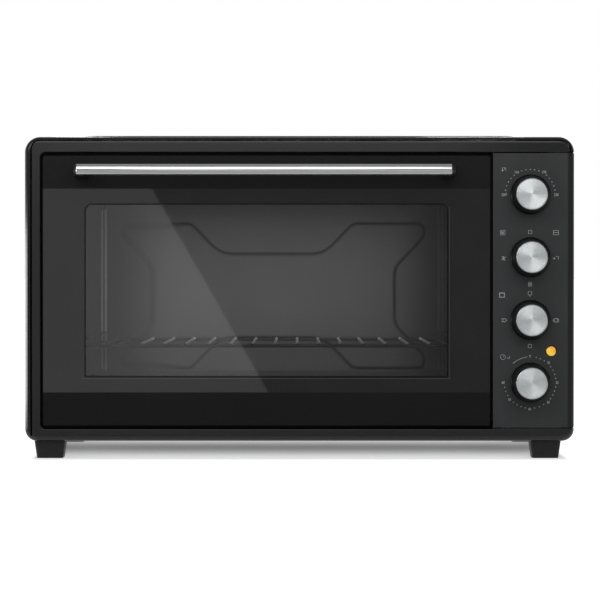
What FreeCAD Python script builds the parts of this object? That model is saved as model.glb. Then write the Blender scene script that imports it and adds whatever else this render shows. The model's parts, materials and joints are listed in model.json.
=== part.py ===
import FreeCAD, Part
import math
import os
from FreeCAD import Vector

# Mini oven, in millimetres. The front faces -Y, +Z is up, and the origin is on the table
# under the middle of the whole oven. A "depth" below is measured back from the door's face.

# Body
BODY_WIDTH = 550.0
BODY_DEPTH = 368.0
BODY_BOTTOM = 17.5
BODY_TOP = 322.0
TOP_CORNER = 15.5
BOTTOM_CORNER = 12.0
EDGE_ROUND = 6.0
HANDLE_REACH = 44.0
GLAND_REACH = 9.0
SHEET = 1.0
CASING_LIP = 26.0

FACE = HANDLE_REACH - (HANDLE_REACH + BODY_DEPTH + GLAND_REACH) / 2
REAR = FACE + BODY_DEPTH
SIDE = BODY_WIDTH / 2
BASE_TOP = BODY_BOTTOM + 2 * SHEET

# The shallow raised field of the top
RAISED_TOP = 324.4
RAISED_HALF_WIDTH = 226.0
RAISED_FRONT = FACE + 29.0
RAISED_REAR = REAR - 26.0
RAISED_RAMP = 10.0
RAISED_CORNER = 14.0

# Front frame, with the door opening
FRAME_DEPTH = 16.0
FRAME_WALL = 2.0
SKIRT_WALL = 1.5
OPENING_LEFT = -259.3
OPENING_RIGHT = 193.5
OPENING_BOTTOM = 29.6
OPENING_TOP = 306.6
OPENING_CORNER = 5.5
OPENING_ROUND = 0.8
FRAME_POST_SETBACK = 2.5

# The seam inside the frame's rounded edge: the insets of its two lines at each side
SEAM_LEFT = (5.7, 7.5)
SEAM_TOP = (2.9, 4.2)
SEAM_RIGHT = (3.4, 4.7)
SEAM_LOWER_END = BODY_BOTTOM + 5.3
SEAM_DEPTH = 4.5

# Door
DOOR_LEFT = -256.5
DOOR_RIGHT = 190.5
DOOR_BOTTOM = 32.3
DOOR_TOP = 303.0
DOOR_THICK = 18.0
DOOR_CORNER = 3.0
DOOR_HEEL = 8.0
GLASS_BOTTOM = 66.3
GLASS_TOP = 270.1
GLASS_THICK = 4.0
GLASS_SETBACK = 0.5
RAIL_WALL = 1.5
RAIL_END = 15.0
PAN_SHEET = 1.2
PAN_MARGIN = 5.0
PAN_CORNER = 8.0
WINDOW_LEFT = -215.6
WINDOW_RIGHT = 149.4
WINDOW_BOTTOM = 81.1
WINDOW_TOP = 255.8

# Hinge: a pin at each side, and a stay that follows an arc round the hinge line
PIVOT_DEPTH = 6.0
PIVOT_HEIGHT = 38.3
PIVOT_Y = FACE + PIVOT_DEPTH
PIN_RADIUS = 3.0
PIN_REACH = 12.0
RUNNING_FIT = 0.05
HINGE_SHEET = 2.5
HINGE_FOOT = 6.0
HINGE_LOW = PIVOT_HEIGHT - 5.0
HINGE_HIGH = PIVOT_HEIGHT + 26.0
STAY_THICK = 2.0
STAY_X = (-240.0, 172.0)
STAY_RADII = (38.0, 46.0)
STAY_ANGLES = (-20.0, 82.0)
STAY_PLAY = 0.7
STAY_SLOT = (33.5, 46.5)

# Handle
BAR_LEFT = -220.4
BAR_RIGHT = 150.7
BAR_HEIGHT = 288.0
BAR_RADIUS = 5.7
BAR_CHAMFER = 0.5
BAR_Y = FACE - HANDLE_REACH + BAR_RADIUS
POST_X = (BAR_LEFT + 2.6, BAR_RIGHT - 2.2)
POST_HALF_AT_DOOR = (7.5, 6.5)
POST_HALF_AT_BAR = (5.5, 4.8)
POST_CORNER = 1.5
HANDLE_SCREW_RADIUS = 2.0
HANDLE_SCREW_HEAD = (3.8, 2.6)

# Cooking space
CAVITY_LEFT = -220.0
CAVITY_RIGHT = 159.5
CAVITY_FLOOR = 78.0
CAVITY_TOP = 275.0
CAVITY_CORNER = 4.0
CAVITY_REAR = FACE + 345.0
PLATE_FRONT = FACE + DOOR_THICK + 0.5
PLATE_SHEET = 1.2
CAVITY_FRONT = PLATE_FRONT + PLATE_SHEET
REFLECTOR_TOP = 50.0
RIB_PLACES = (-150.0, -30.0, 90.0)
RIB_HALF_WIDTH = 4.0
RIB_TOP = CAVITY_TOP + 3.0
RIB_END_SPACE = 40.0

# The rear wall's pressed field, a wide cross. One quarter of its outline is given from the middle
# of the field: across, up and the corner's radius.
FIELD_MIDDLE = (-30.4, 160.0)
FIELD_HEIGHT = 3.0
FIELD_QUARTER = [(135.6, 31.2, 20.0), (168.3, 65.8, 12.0), (168.3, 80.3, 7.0), (89.9, 80.3, 12.0),
                 (57.1, 46.5, 32.0)]

# Wire rack and its runners
RACK_MIDDLE = -25.3
RACK_WIRES = 15
WIRE_PITCH = 22.63
WIRE_RADIUS = 1.5
WIRE_HEIGHT = 113.3
WIRE_OVERHANG = 1.0
LOOP_RADIUS = 1.6
LOOP_HEIGHT = WIRE_HEIGHT - 1.1
LOOP_HALF_WIDTH = 176.5
LOOP_BEND = 12.0
RACK_FRONT = FACE + 32.0
RACK_REAR = FACE + 335.0
RUNNER_WIDTH = 20.0
RUNNER_LIP = 8.0
RUNNER_SHEET = 1.2
RUNNER_HEIGHT = 12.0
RUNNER_GAP = 0.3

# Heating elements
ELEMENT_RADIUS = 3.25
UPPER_ELEMENT_HEIGHT = 265.0
LOWER_ELEMENT_HEIGHT = 64.0
ELEMENT_DEPTHS = {"front": 100.0, "rear": 230.0}
ELEMENT_OVERHANG = 14.0
INSULATOR_RADIUS = 6.0
INSULATOR_LENGTH = 9.0
INSULATOR_FLANGE = 3.0
TERMINAL_RADIUS = 1.6
TERMINAL_LENGTH = 8.0

# Control panel, with four dials one above the other
PANEL_LEFT = 193.5
PANEL_BOTTOM = 31.3
PANEL_TOP = 305.6
PANEL_WALL = 2.5
PANEL_ROUND = 6.5
PANEL_EDGE = 0.4
PANEL_GROOVE = (1.0, 1.2)
DIAL_X = 230.7
DIAL_HEIGHTS = {"temperature": 264.3, "function": 201.6, "heat": 138.9, "timer": 76.3}
SHAFT_RADIUS = 3.0
SHAFT_FLAT = 2.0
SHAFT_FRONT = FACE - 20.0
SHAFT_REAR = FACE + 28.0
SLEEVE_RADIUS = 4.5
BRACKET_FRONT = FACE + 12.0
BRACKET_SHEET = 1.2
BRACKET_BACK = BRACKET_FRONT + BRACKET_SHEET
BRACKET_MARGIN = 6.0
KNOB_GAP = 0.8
KNOB_REACH = 28.0
SKIRT_RADIUS = 20.0
KNOB_FRONT_RADIUS = 17.0
KNOB_HUB_RADIUS = 6.0
KNOB_WALL = 2.0
CAP_RADIUS = 15.8
CAP_THICK = 1.6
CAP_CHAMFER = 0.7
LAMP_X = 251.6
LAMP_HEIGHT = 107.6
LAMP_RADIUS = 5.45
LAMP_DOME = 1.5
LAMP_SLEEVE_RADIUS = 5.0

# Housings of the controls behind their bracket, and the spades that stand out of them
THERMOSTAT_HALF = (17.0, 13.0)
THERMOSTAT_DEPTH = 20.0
SWITCH_RADIUS = 21.0
SWITCH_DEPTH = 22.0
TIMER_HALF = (24.0, 21.0)
TIMER_DEPTH = 30.0
BELL_RADIUS = 22.0
BELL_DEPTH = 8.0
SPADE_LENGTH = 8.0
SPADE_HALF = (3.0, 0.4)
THERMOSTAT_SPADE_RISE = 12.2
SWITCH_SPADE_RISE = 10.0
NUT_RADIUS = 7.6
NUT_THICK = 2.4

# Fan beside the cooking space
FAN_Y = FACE + 185.0
FAN_HEIGHT = 170.0
FAN_RADIUS = 50.0
FAN_BLADES = 10
FAN_WHEEL_DEPTH = 12.0
FAN_FRONT = CAVITY_RIGHT + SHEET + 3.0
HOUSING_RADIUS = 60.0
HOUSING_DEPTH = 20.0
HOUSING_FLANGE = 6.0
FAN_SHAFT_RADIUS = 2.5
ROTOR_RADIUS = 11.0
ROTOR_GAP = 0.5
MOTOR_FRONT = CAVITY_RIGHT + SHEET + HOUSING_DEPTH + 6.0
MOTOR_BRIDGE = 4.0
MOTOR_STACK = (6.0, 22.0)
MOTOR_REAR = MOTOR_FRONT + 28.0
PERFORATION_RINGS = 4
PERFORATION_PITCH = 10.5
PERFORATION_RADIUS = 3.2

# Temperature probe
BULB_RADIUS = 3.0
BULB_LENGTH = 60.0
BULB_Y = FACE + 150.0
BULB_HEIGHT = 264.0
CAPILLARY_RADIUS = 1.0
CAPILLARY_BEND = 7.0

# Feet
FOOT_CENTRES_X = (-250.7, 246.9)
FOOT_FRONT_Y = FACE + 26.0
FOOT_REAR_Y = REAR - 36.0
FOOT_TOP = (31.0, 34.0)
FOOT_SOLE = (26.2, 29.0)
FOOT_CORNER = 3.0
FOOT_SEAT = 8.0
FEET = [(x, y) for x in FOOT_CENTRES_X for y in (FOOT_FRONT_Y, FOOT_REAR_Y)]

# Screws with a cross in their heads: where they stand, so that each part can leave a hole for them
SCREW_RADIUS = 1.75
SCREW_HEAD_RADIUS = 3.6
SCREW_HEAD = 2.0
SCREW_LENGTH = 9.0
CROSS_HALF = (2.4, 0.5)
CROSS_DEPTH = 0.9
REAR_SCREWS = [(x, z) for x in (-240.0, -80.0, 80.0, 240.0) for z in (27.0, 313.0)]
REAR_SCREWS += [(side * 268.0, z) for side in (-1, 1) for z in (110.0, 220.0)]
REAR_FLANGE = 10.0

# Vents. A field is the middle of its slots, and how many columns and rows it has.
VENT_Y = FACE + 190.0
SIDE_SLOT = (30.0, 3.0)
SIDE_PITCH = (40.0, 9.0)
RIGHT_VENTS = [((VENT_Y, 255.0), 6, 5), ((VENT_Y, 70.0), 6, 4)]
LEFT_VENTS = [((VENT_Y, 268.0), 6, 3)]
REAR_SLOT = (34.0, 3.2)
REAR_PITCH = (44.0, 9.0)
REAR_VENTS = [((-160.0, 262.0), 3, 5), ((0.0, 262.0), 3, 5), ((160.0, 262.0), 3, 5), ((-30.0, 60.0), 6, 3)]
BASE_SLOT = (60.0, 4.0)
BASE_PITCH = (84.0, 60.0)
BASE_VENTS = [((-30.0, VENT_Y), 4, 4)]
CONTROL_SLOT = (46.0, 3.4)
CONTROL_PITCH = (60.0, 12.0)
CONTROL_VENTS = [((205.0, VENT_Y), 1, 16)]

# Mains entry
GLAND_X = 236.0
GLAND_HEIGHT = 60.0
GLAND_RADIUS = 8.0
CABLE_RADIUS = 3.6
BLOCK_X = (212.0, 262.0)
BLOCK_Y = (REAR - 86.0, REAR - 64.0)
BLOCK_TOP = BASE_TOP + 20.0
BLOCK_PITCH = 15.0
BLOCK_INSET = (10.0, 6.0)
LEAD_RADIUS = 1.3
LEAD_BEND = 9.0


def box(x0, x1, y0, y1, z0, z1):
    return Part.makeBox(x1 - x0, y1 - y0, z1 - z0, Vector(x0, y0, z0))


def rod_x(x0, x1, y, z, radius):
    return Part.makeCylinder(radius, x1 - x0, Vector(x0, y, z), Vector(1, 0, 0))


def rod_y(x, y0, y1, z, radius):
    return Part.makeCylinder(radius, y1 - y0, Vector(x, y0, z), Vector(0, 1, 0))


def rod_z(x, y, z0, z1, radius):
    return Part.makeCylinder(radius, z1 - z0, Vector(x, y, z0), Vector(0, 0, 1))


def joined(shapes):
    return shapes[0].multiFuse(shapes[1:]).removeSplitter()


def rounded_wire(points, radii):
    """A closed wire through 3-D corner points, with an arc of its own radius at each corner."""
    count = len(points)
    starts, ends, middles = [], [], []
    for index, corner in enumerate(points):
        back = (points[index - 1] - corner).normalize()
        ahead = (points[(index + 1) % count] - corner).normalize()
        half_angle = back.getAngle(ahead) / 2
        reach = radii[index] / math.tan(half_angle)
        inward = (back + ahead).normalize()
        starts.append(corner + back * reach)
        ends.append(corner + ahead * reach)
        middles.append(corner + inward * (radii[index] / math.sin(half_angle) - radii[index]))
    edges = []
    for index in range(count):
        if radii[index] > 0:
            edges.append(Part.Arc(starts[index], middles[index], ends[index]).toShape())
        following = (index + 1) % count
        if (starts[following] - ends[index]).Length > 1e-6:
            edges.append(Part.LineSegment(ends[index], starts[following]).toShape())
    return Part.Wire(edges)


def prism_y(corners, radii, y0, y1):
    """A prism along Y over an outline of (x, z) corners."""
    wire = rounded_wire([Vector(x, y0, z) for x, z in corners], radii)
    return Part.Face(wire).extrude(Vector(0, y1 - y0, 0))


def prism_x(corners, radii, x0, x1):
    """A prism along X over an outline of (y, z) corners."""
    wire = rounded_wire([Vector(x0, y, z) for y, z in corners], radii)
    return Part.Face(wire).extrude(Vector(x1 - x0, 0, 0))


def prism_z(corners, radii, z0, z1):
    """A prism along Z over an outline of (x, y) corners."""
    wire = rounded_wire([Vector(x, y, z0) for x, y in corners], radii)
    return Part.Face(wire).extrude(Vector(0, 0, z1 - z0))


def rectangle(x0, x1, z0, z1):
    return [(x0, z0), (x1, z0), (x1, z1), (x0, z1)]


def turned(profile, x, z):
    """A solid of revolution about a line along Y, from (radius, y) corners."""
    corners = [Vector(x + radius, y, z) for radius, y in profile]
    face = Part.Face(Part.makePolygon(corners + corners[:1]))
    return face.revolve(Vector(x, 0, z), Vector(0, 1, 0), 360)


def body_prism(inset, y0, y1):
    """The body's outline, drawn in by an inset all round, as a prism along Y."""
    corners = rectangle(-SIDE + inset, SIDE - inset, BODY_BOTTOM + inset, BODY_TOP - inset)
    bottom = BOTTOM_CORNER - inset
    top = TOP_CORNER - inset
    return prism_y(corners, [bottom, bottom, top, top], y0, y1)


def front_rounded(shape, y, radius):
    edges = [e for e in shape.Edges if all(abs(v.Point.y - y) < 1e-6 for v in e.Vertexes)]
    return shape.makeFillet(radius, edges)


def tapered_block(size_low, size_high, x, y, z0, z1, corner):
    """A block whose rounded rectangular plan changes evenly from its lower to its upper size."""
    wires = []
    for (width, depth), z in ((size_low, z0), (size_high, z1)):
        half_x = width / 2
        half_y = depth / 2
        plan = [(-half_x, -half_y), (half_x, -half_y), (half_x, half_y), (-half_x, half_y)]
        corners = [Vector(x + dx, y + dy, z) for dx, dy in plan]
        wires.append(rounded_wire(corners, [corner] * 4))
    return Part.makeLoft(wires, True, True)


def tube_along(points, radius, bend):
    """A round wire along straight runs joined by tangent arcs of one bend radius."""
    edges = []
    place = points[0]
    for index in range(1, len(points) - 1):
        corner = points[index]
        back = (points[index - 1] - corner).normalize()
        ahead = (points[index + 1] - corner).normalize()
        half_angle = back.getAngle(ahead) / 2
        reach = bend / math.tan(half_angle)
        start = corner + back * reach
        end = corner + ahead * reach
        middle = corner + (back + ahead).normalize() * (bend / math.sin(half_angle) - bend)
        edges.append(Part.LineSegment(place, start).toShape())
        edges.append(Part.Arc(start, middle, end).toShape())
        place = end
    edges.append(Part.LineSegment(place, points[-1]).toShape())
    heading = (points[1] - points[0]).normalize()
    section = Part.Wire(Part.makeCircle(radius, points[0], heading))
    return Part.Wire(edges).makePipeShell([section], True, False)


def slot_field(make_prism, low, high, fields, size, pitch):
    """Rounded ventilation slots through a wall, in regular fields."""
    half_length = size[0] / 2
    half_height = size[1] / 2
    slots = []
    for centre, columns, rows in fields:
        for column in range(columns):
            for row in range(rows):
                across = centre[0] + (column - (columns - 1) / 2) * pitch[0]
                up = centre[1] + (row - (rows - 1) / 2) * pitch[1]
                outline = rectangle(across - half_length, across + half_length,
                                    up - half_height, up + half_height)
                slots.append(make_prism(outline, [half_height * 0.98] * 4, low, high))
    return Part.makeCompound(slots)


def cross_box(make, reach):
    """Two crossed slots for a screw's head: make gives a box from its half width and half height."""
    return make(reach, CROSS_HALF[1]).fuse(make(CROSS_HALF[1], reach))


def rear_screw(x, z):
    head = rod_y(x, REAR, REAR + SCREW_HEAD, z, SCREW_HEAD_RADIUS)
    head = head.makeFillet(0.8, [e for e in head.Edges if e.BoundBox.YMin > REAR + 0.5])
    front = REAR + SCREW_HEAD
    cross = cross_box(lambda a, b: box(x - a, x + a, front - CROSS_DEPTH, front + 1, z - b, z + b),
                      CROSS_HALF[0])
    shank = rod_y(x, REAR - SCREW_LENGTH, REAR, z, SCREW_RADIUS)
    return head.fuse(shank).cut(cross)


def foot_screw(x, y):
    sole = FOOT_SEAT - SCREW_HEAD
    head = rod_z(x, y, sole, FOOT_SEAT, SCREW_HEAD_RADIUS)
    shank = rod_z(x, y, FOOT_SEAT, BASE_TOP + 3, SCREW_RADIUS)
    cross = cross_box(lambda a, b: box(x - a, x + a, y - b, y + b, sole - 1, sole + CROSS_DEPTH),
                      CROSS_HALF[0])
    return head.fuse(shank).cut(cross)


# Front frame

def make_seam():
    """The slit inside the frame's rounded edge, up the left side, over the top and down to the panel."""
    prisms = []
    for step in (0, 1):
        corners = rectangle(-SIDE + SEAM_LEFT[step], SIDE - SEAM_RIGHT[step],
                            SEAM_LOWER_END - step, BODY_TOP - SEAM_TOP[step])
        radii = [0, 0, TOP_CORNER - SEAM_RIGHT[step], TOP_CORNER - SEAM_LEFT[step]]
        prisms.append(prism_y(corners, radii, FACE - 1, FACE + SEAM_DEPTH))
    below_panel = box(0, SIDE, FACE - 1, FACE + SEAM_DEPTH, BODY_BOTTOM, PANEL_TOP)
    return prisms[0].cut(prisms[1]).cut(below_panel)


def make_front_frame():
    shell = front_rounded(body_prism(0, FACE, FACE + FRAME_DEPTH), FACE, EDGE_ROUND)
    hollow = body_prism(FRAME_WALL, FACE + FRAME_WALL, FACE + FRAME_DEPTH)
    hollow = front_rounded(hollow, FACE + FRAME_WALL, EDGE_ROUND - FRAME_WALL)
    opening = rectangle(OPENING_LEFT, OPENING_RIGHT, OPENING_BOTTOM, OPENING_TOP)
    wall = SKIRT_WALL
    around = rectangle(OPENING_LEFT - wall, OPENING_RIGHT + wall, OPENING_BOTTOM - wall, OPENING_TOP + wall)
    inner = OPENING_CORNER
    outer = OPENING_CORNER + wall
    door_hole = prism_y(opening, [inner, 0, 0, inner], FACE - 1, PLATE_FRONT + 1)
    skirt = prism_y(around, [outer, 0, 0, outer], FACE + 1, PLATE_FRONT)
    panel_gap = box(OPENING_RIGHT, SIDE + 1, FACE - 1, FACE + FRAME_DEPTH + 1,
                    PANEL_BOTTOM - PANEL_GROOVE[0], PANEL_TOP + PANEL_GROOVE[1])
    face = shell.cut(hollow).cut(door_hole)
    rim = [e for e in face.Edges if on_opening_rim(e)]
    face = face.makeFillet(OPENING_ROUND, rim)
    post = box(OPENING_RIGHT, OPENING_RIGHT + wall, FACE + FRAME_POST_SETBACK, PLATE_FRONT,
               PANEL_BOTTOM - 1.5, PANEL_TOP + 2)
    frame = face.cut(panel_gap).fuse(skirt.cut(door_hole).cut(panel_gap)).fuse(post).cut(make_seam())
    for pin in (hinge_pin("left"), hinge_pin("right")):
        frame = frame.cut(pin)
    return frame.removeSplitter()


def on_opening_rim(edge):
    """True for the front edges of the door opening, except the one beside the panel."""
    bounds = edge.BoundBox
    at_front = bounds.YMax < FACE + 1e-4
    inside = bounds.XMin > OPENING_LEFT - 0.01 and bounds.ZMin > OPENING_BOTTOM - 0.01
    inside = inside and bounds.ZMax < OPENING_TOP + 0.01
    return at_front and inside and bounds.XMin < OPENING_RIGHT - 1


def hinge_pin(side):
    """The pin's cylinder, from the hinge bracket through the frame's skirt into the door."""
    if side == "left":
        return rod_x(OPENING_LEFT - SKIRT_WALL - 1, DOOR_LEFT + PIN_REACH, PIVOT_Y, PIVOT_HEIGHT, PIN_RADIUS)
    return rod_x(DOOR_RIGHT - PIN_REACH, OPENING_RIGHT + SKIRT_WALL + 1, PIVOT_Y, PIVOT_HEIGHT, PIN_RADIUS)


def make_hinge_brackets():
    """Two steel angles behind the frame, each with its riveted pin."""
    brackets = []
    for side, x0, x1 in (("left", OPENING_LEFT - SKIRT_WALL - HINGE_SHEET, OPENING_LEFT - SKIRT_WALL),
                         ("right", OPENING_RIGHT + SKIRT_WALL, OPENING_RIGHT + SKIRT_WALL + HINGE_SHEET)):
        web = box(x0, x1, FACE + PIVOT_DEPTH - PIN_RADIUS + 0.2, PLATE_FRONT, HINGE_LOW, HINGE_HIGH)
        foot_x = (x0 - HINGE_FOOT, x1) if side == "left" else (x0, x1 + HINGE_FOOT)
        foot = box(foot_x[0], foot_x[1], PLATE_FRONT - HINGE_SHEET, PLATE_FRONT, HINGE_LOW, HINGE_HIGH)
        brackets.append(joined([web, foot, hinge_pin(side)]))
    return Part.makeCompound(brackets)


# Outer casing, base and rear cover

def raised_field(inset, foot_height):
    """The shallow raised field of the top, with sloping edges."""
    wires = []
    for grow, z in ((0.0, foot_height), (RAISED_RAMP, RAISED_TOP - inset)):
        half = RAISED_HALF_WIDTH - grow - inset
        front = RAISED_FRONT + grow + inset
        back = RAISED_REAR - grow - inset
        plan = [(-half, front), (half, front), (half, back), (-half, back)]
        wires.append(rounded_wire([Vector(x, y, z) for x, y in plan], [RAISED_CORNER] * 4))
    return Part.makeLoft(wires, True, True)


def make_outer_casing():
    front = FACE + FRAME_DEPTH
    back = REAR - SHEET
    shell = body_prism(0, front, back).fuse(raised_field(0, BODY_TOP - SHEET))
    hollow = body_prism(SHEET, front - 1, back + 1).fuse(raised_field(SHEET, BODY_TOP - 3 * SHEET))
    belly = box(-SIDE + CASING_LIP, SIDE - CASING_LIP, front - 1, back + 1, BODY_BOTTOM - 1, BODY_BOTTOM + 5)
    casing = shell.cut(hollow).cut(belly)
    casing = casing.cut(slot_field(prism_x, SIDE - 4, SIDE + 4, RIGHT_VENTS, SIDE_SLOT, SIDE_PITCH))
    casing = casing.cut(slot_field(prism_x, -SIDE - 4, -SIDE + 4, LEFT_VENTS, SIDE_SLOT, SIDE_PITCH))
    for x, y in FEET:
        casing = casing.cut(rod_z(x, y, BODY_BOTTOM - 1, BASE_TOP, SCREW_RADIUS))
    return casing.removeSplitter()


def make_base_plate():
    """The bottom, with an upright flange that meets the cooking space's front."""
    half = SIDE - BOTTOM_CORNER - 1
    back = REAR - SHEET - 0.5
    plate = box(-half, half, FACE + FRAME_DEPTH, back, BODY_BOTTOM + SHEET, BASE_TOP)
    plate = plate.fuse(box(-half, half, CAVITY_FRONT, CAVITY_FRONT + SHEET, BASE_TOP - 0.5, BASE_TOP + 14))
    vents = slot_field(prism_z, BASE_TOP - 3, BASE_TOP + 1, CONTROL_VENTS, CONTROL_SLOT, CONTROL_PITCH)
    plate = plate.cut(vents)
    vents = slot_field(prism_z, BASE_TOP - 3, BASE_TOP + 1, BASE_VENTS, BASE_SLOT, BASE_PITCH)
    plate = plate.cut(vents)
    for x, y in FEET:
        plate = plate.cut(rod_z(x, y, BODY_BOTTOM, BASE_TOP + 1, SCREW_RADIUS))
    return plate.removeSplitter()


def make_rear_cover():
    plate = body_prism(0, REAR - SHEET, REAR)
    ring = body_prism(SHEET, REAR - REAR_FLANGE, REAR - SHEET)
    ring = ring.cut(body_prism(2 * SHEET, REAR - REAR_FLANGE - 1, REAR + 1))
    ring = ring.cut(box(-SIDE, SIDE, REAR - REAR_FLANGE - 1, REAR - SHEET, BODY_BOTTOM, BODY_BOTTOM + 14))
    cover = plate.fuse(ring)
    cover = cover.cut(slot_field(prism_y, REAR - 3, REAR + 1, REAR_VENTS, REAR_SLOT, REAR_PITCH))
    cover = cover.cut(rod_y(GLAND_X, REAR - 3, REAR + 1, GLAND_HEIGHT, GLAND_RADIUS))
    for x, z in REAR_SCREWS:
        cover = cover.cut(rod_y(x, REAR - 2, REAR + 1, z, SCREW_RADIUS))
    return cover.removeSplitter()


def make_case_screws():
    screws = [rear_screw(x, z) for x, z in REAR_SCREWS]
    screws += [foot_screw(x, y) for x, y in FEET]
    return Part.makeCompound(screws)


def make_feet():
    """Four tapered feet, each hollowed from its sole up to the seat of its screw."""
    feet = []
    for x, y in FEET:
        foot = tapered_block(FOOT_SOLE, FOOT_TOP, x, y, 0, BODY_BOTTOM, FOOT_CORNER)
        foot = foot.cut(rod_z(x, y, -1, FOOT_SEAT, SCREW_HEAD_RADIUS + 1.4))
        foot = foot.cut(rod_z(x, y, FOOT_SEAT - 1, BODY_BOTTOM + 1, SCREW_RADIUS))
        feet.append(foot)
    return Part.makeCompound(feet)


# Cooking space

def element_places():
    """Each heating element's name, depth line and height."""
    places = []
    for level, height in (("upper", UPPER_ELEMENT_HEIGHT), ("lower", LOWER_ELEMENT_HEIGHT)):
        for end, depth in ELEMENT_DEPTHS.items():
            places.append((level + "_element_" + end, FACE + depth, height))
    return places


def insulator_holes(x0, x1):
    return Part.makeCompound([rod_x(x0, x1, y, z, INSULATOR_RADIUS) for _, y, z in element_places()])


def stay_slot(x):
    """The slot in the cavity's front plate that a door stay slides through."""
    half = STAY_THICK / 2 + STAY_PLAY
    return box(x - half, x + half, PLATE_FRONT - 1, CAVITY_FRONT + 1,
               PIVOT_HEIGHT + STAY_SLOT[0], PIVOT_HEIGHT + STAY_SLOT[1])


def make_cavity_front_plate():
    plate = box(-SIDE + 5, OPENING_RIGHT + SKIRT_WALL + 8, PLATE_FRONT, CAVITY_FRONT,
                OPENING_BOTTOM - 5, OPENING_TOP + 6)
    mouth = rectangle(CAVITY_LEFT, CAVITY_RIGHT, CAVITY_FLOOR, CAVITY_TOP)
    plate = plate.cut(prism_y(mouth, [CAVITY_CORNER] * 4, PLATE_FRONT - 1, CAVITY_FRONT + 1))
    for x in STAY_X:
        plate = plate.cut(stay_slot(x))
    return plate


def fan_perforation(x0, x1):
    """Round holes on rings round the fan's axis, six more on each ring."""
    holes = []
    for ring in range(1, PERFORATION_RINGS + 1):
        radius = PERFORATION_PITCH * ring
        for step in range(6 * ring):
            angle = 2 * math.pi * step / (6 * ring)
            y = FAN_Y + radius * math.cos(angle)
            z = FAN_HEIGHT + radius * math.sin(angle)
            holes.append(rod_x(x0, x1, y, z, PERFORATION_RADIUS))
    return Part.makeCompound(holes)


def make_side_wall(side):
    x0, x1 = (CAVITY_LEFT - SHEET, CAVITY_LEFT) if side == "left" else (CAVITY_RIGHT, CAVITY_RIGHT + SHEET)
    wall = box(x0, x1, CAVITY_FRONT, CAVITY_REAR + SHEET, REFLECTOR_TOP - SHEET, CAVITY_TOP + SHEET)
    wall = wall.cut(insulator_holes(x0 - 1, x1 + 1))
    if side == "right":
        wall = wall.cut(fan_perforation(x0 - 1, x1 + 1))
        wall = wall.cut(rod_x(x0 - 1, x1 + 1, BULB_Y, BULB_HEIGHT, BULB_RADIUS))
    return wall


def make_cavity_top_wall():
    wall = box(CAVITY_LEFT, CAVITY_RIGHT, CAVITY_FRONT, CAVITY_REAR, CAVITY_TOP, CAVITY_TOP + SHEET)
    front = CAVITY_FRONT + RIB_END_SPACE
    back = CAVITY_REAR - RIB_END_SPACE
    foot = CAVITY_TOP + SHEET - 0.2
    ribs = [box(x - RIB_HALF_WIDTH, x + RIB_HALF_WIDTH, front, back, foot, RIB_TOP) for x in RIB_PLACES]
    return joined([wall] + ribs)


def make_cavity_floor():
    return box(CAVITY_LEFT, CAVITY_RIGHT, CAVITY_FRONT, CAVITY_REAR, CAVITY_FLOOR - SHEET, CAVITY_FLOOR)


def make_lower_reflector():
    return box(CAVITY_LEFT, CAVITY_RIGHT, CAVITY_FRONT, CAVITY_REAR, REFLECTOR_TOP - SHEET, REFLECTOR_TOP)


def drawn_in(corners, distance):
    """An outline's corners, given counterclockwise, moved so that every side lies inwards by one distance."""
    moved = []
    count = len(corners)
    for index, (x, z) in enumerate(corners):
        sides = []
        for start, end in ((corners[index - 1], (x, z)), ((x, z), corners[(index + 1) % count])):
            length = math.hypot(end[0] - start[0], end[1] - start[1])
            sides.append((-(end[1] - start[1]) / length, (end[0] - start[0]) / length))
        share = distance / (1 + sides[0][0] * sides[1][0] + sides[0][1] * sides[1][1])
        moved.append((x + share * (sides[0][0] + sides[1][0]), z + share * (sides[0][1] + sides[1][1])))
    return moved


def field_prism(inset, y0, y1):
    """The rear wall's pressed field: one quarter mirrored about both middle lines."""
    upper = FIELD_QUARTER + [(-x, z, radius) for x, z, radius in reversed(FIELD_QUARTER)]
    whole = upper + [(x, -z, radius) for x, z, radius in reversed(upper)]
    corners = [(FIELD_MIDDLE[0] + x, FIELD_MIDDLE[1] + z) for x, z, _ in whole]
    return prism_y(drawn_in(corners, inset), [radius for _, _, radius in whole], y0, y1)


def make_cavity_back_wall():
    """The rear wall, with its field pressed towards the door."""
    wall = box(CAVITY_LEFT, CAVITY_RIGHT, CAVITY_REAR, CAVITY_REAR + SHEET,
               REFLECTOR_TOP - SHEET, CAVITY_TOP + SHEET)
    outer = field_prism(0, CAVITY_REAR - FIELD_HEIGHT, CAVITY_REAR + SHEET)
    inner = field_prism(SHEET, CAVITY_REAR - FIELD_HEIGHT + SHEET, CAVITY_REAR + SHEET)
    return wall.cut(inner).fuse(outer.cut(inner)).removeSplitter()


def make_runner(side):
    """A channel on the cavity wall: a wide lower flange carries the rack, a narrow upper one guides it."""
    low = LOOP_HEIGHT - LOOP_RADIUS - RUNNER_GAP - RUNNER_SHEET
    high = low + RUNNER_HEIGHT
    y0 = CAVITY_FRONT + 2
    y1 = CAVITY_REAR - 6
    if side == "left":
        wall, direction = CAVITY_LEFT, 1
    else:
        wall, direction = CAVITY_RIGHT, -1

    def strip(reach, z0, z1):
        edges = sorted((wall, wall + direction * reach))
        return box(edges[0], edges[1], y0, y1, z0, z1)

    web = strip(RUNNER_SHEET, low, high)
    lower_flange = strip(RUNNER_WIDTH, low, low + RUNNER_SHEET)
    upper_flange = strip(RUNNER_LIP, high - RUNNER_SHEET, high)
    return joined([web, lower_flange, upper_flange])


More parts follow.
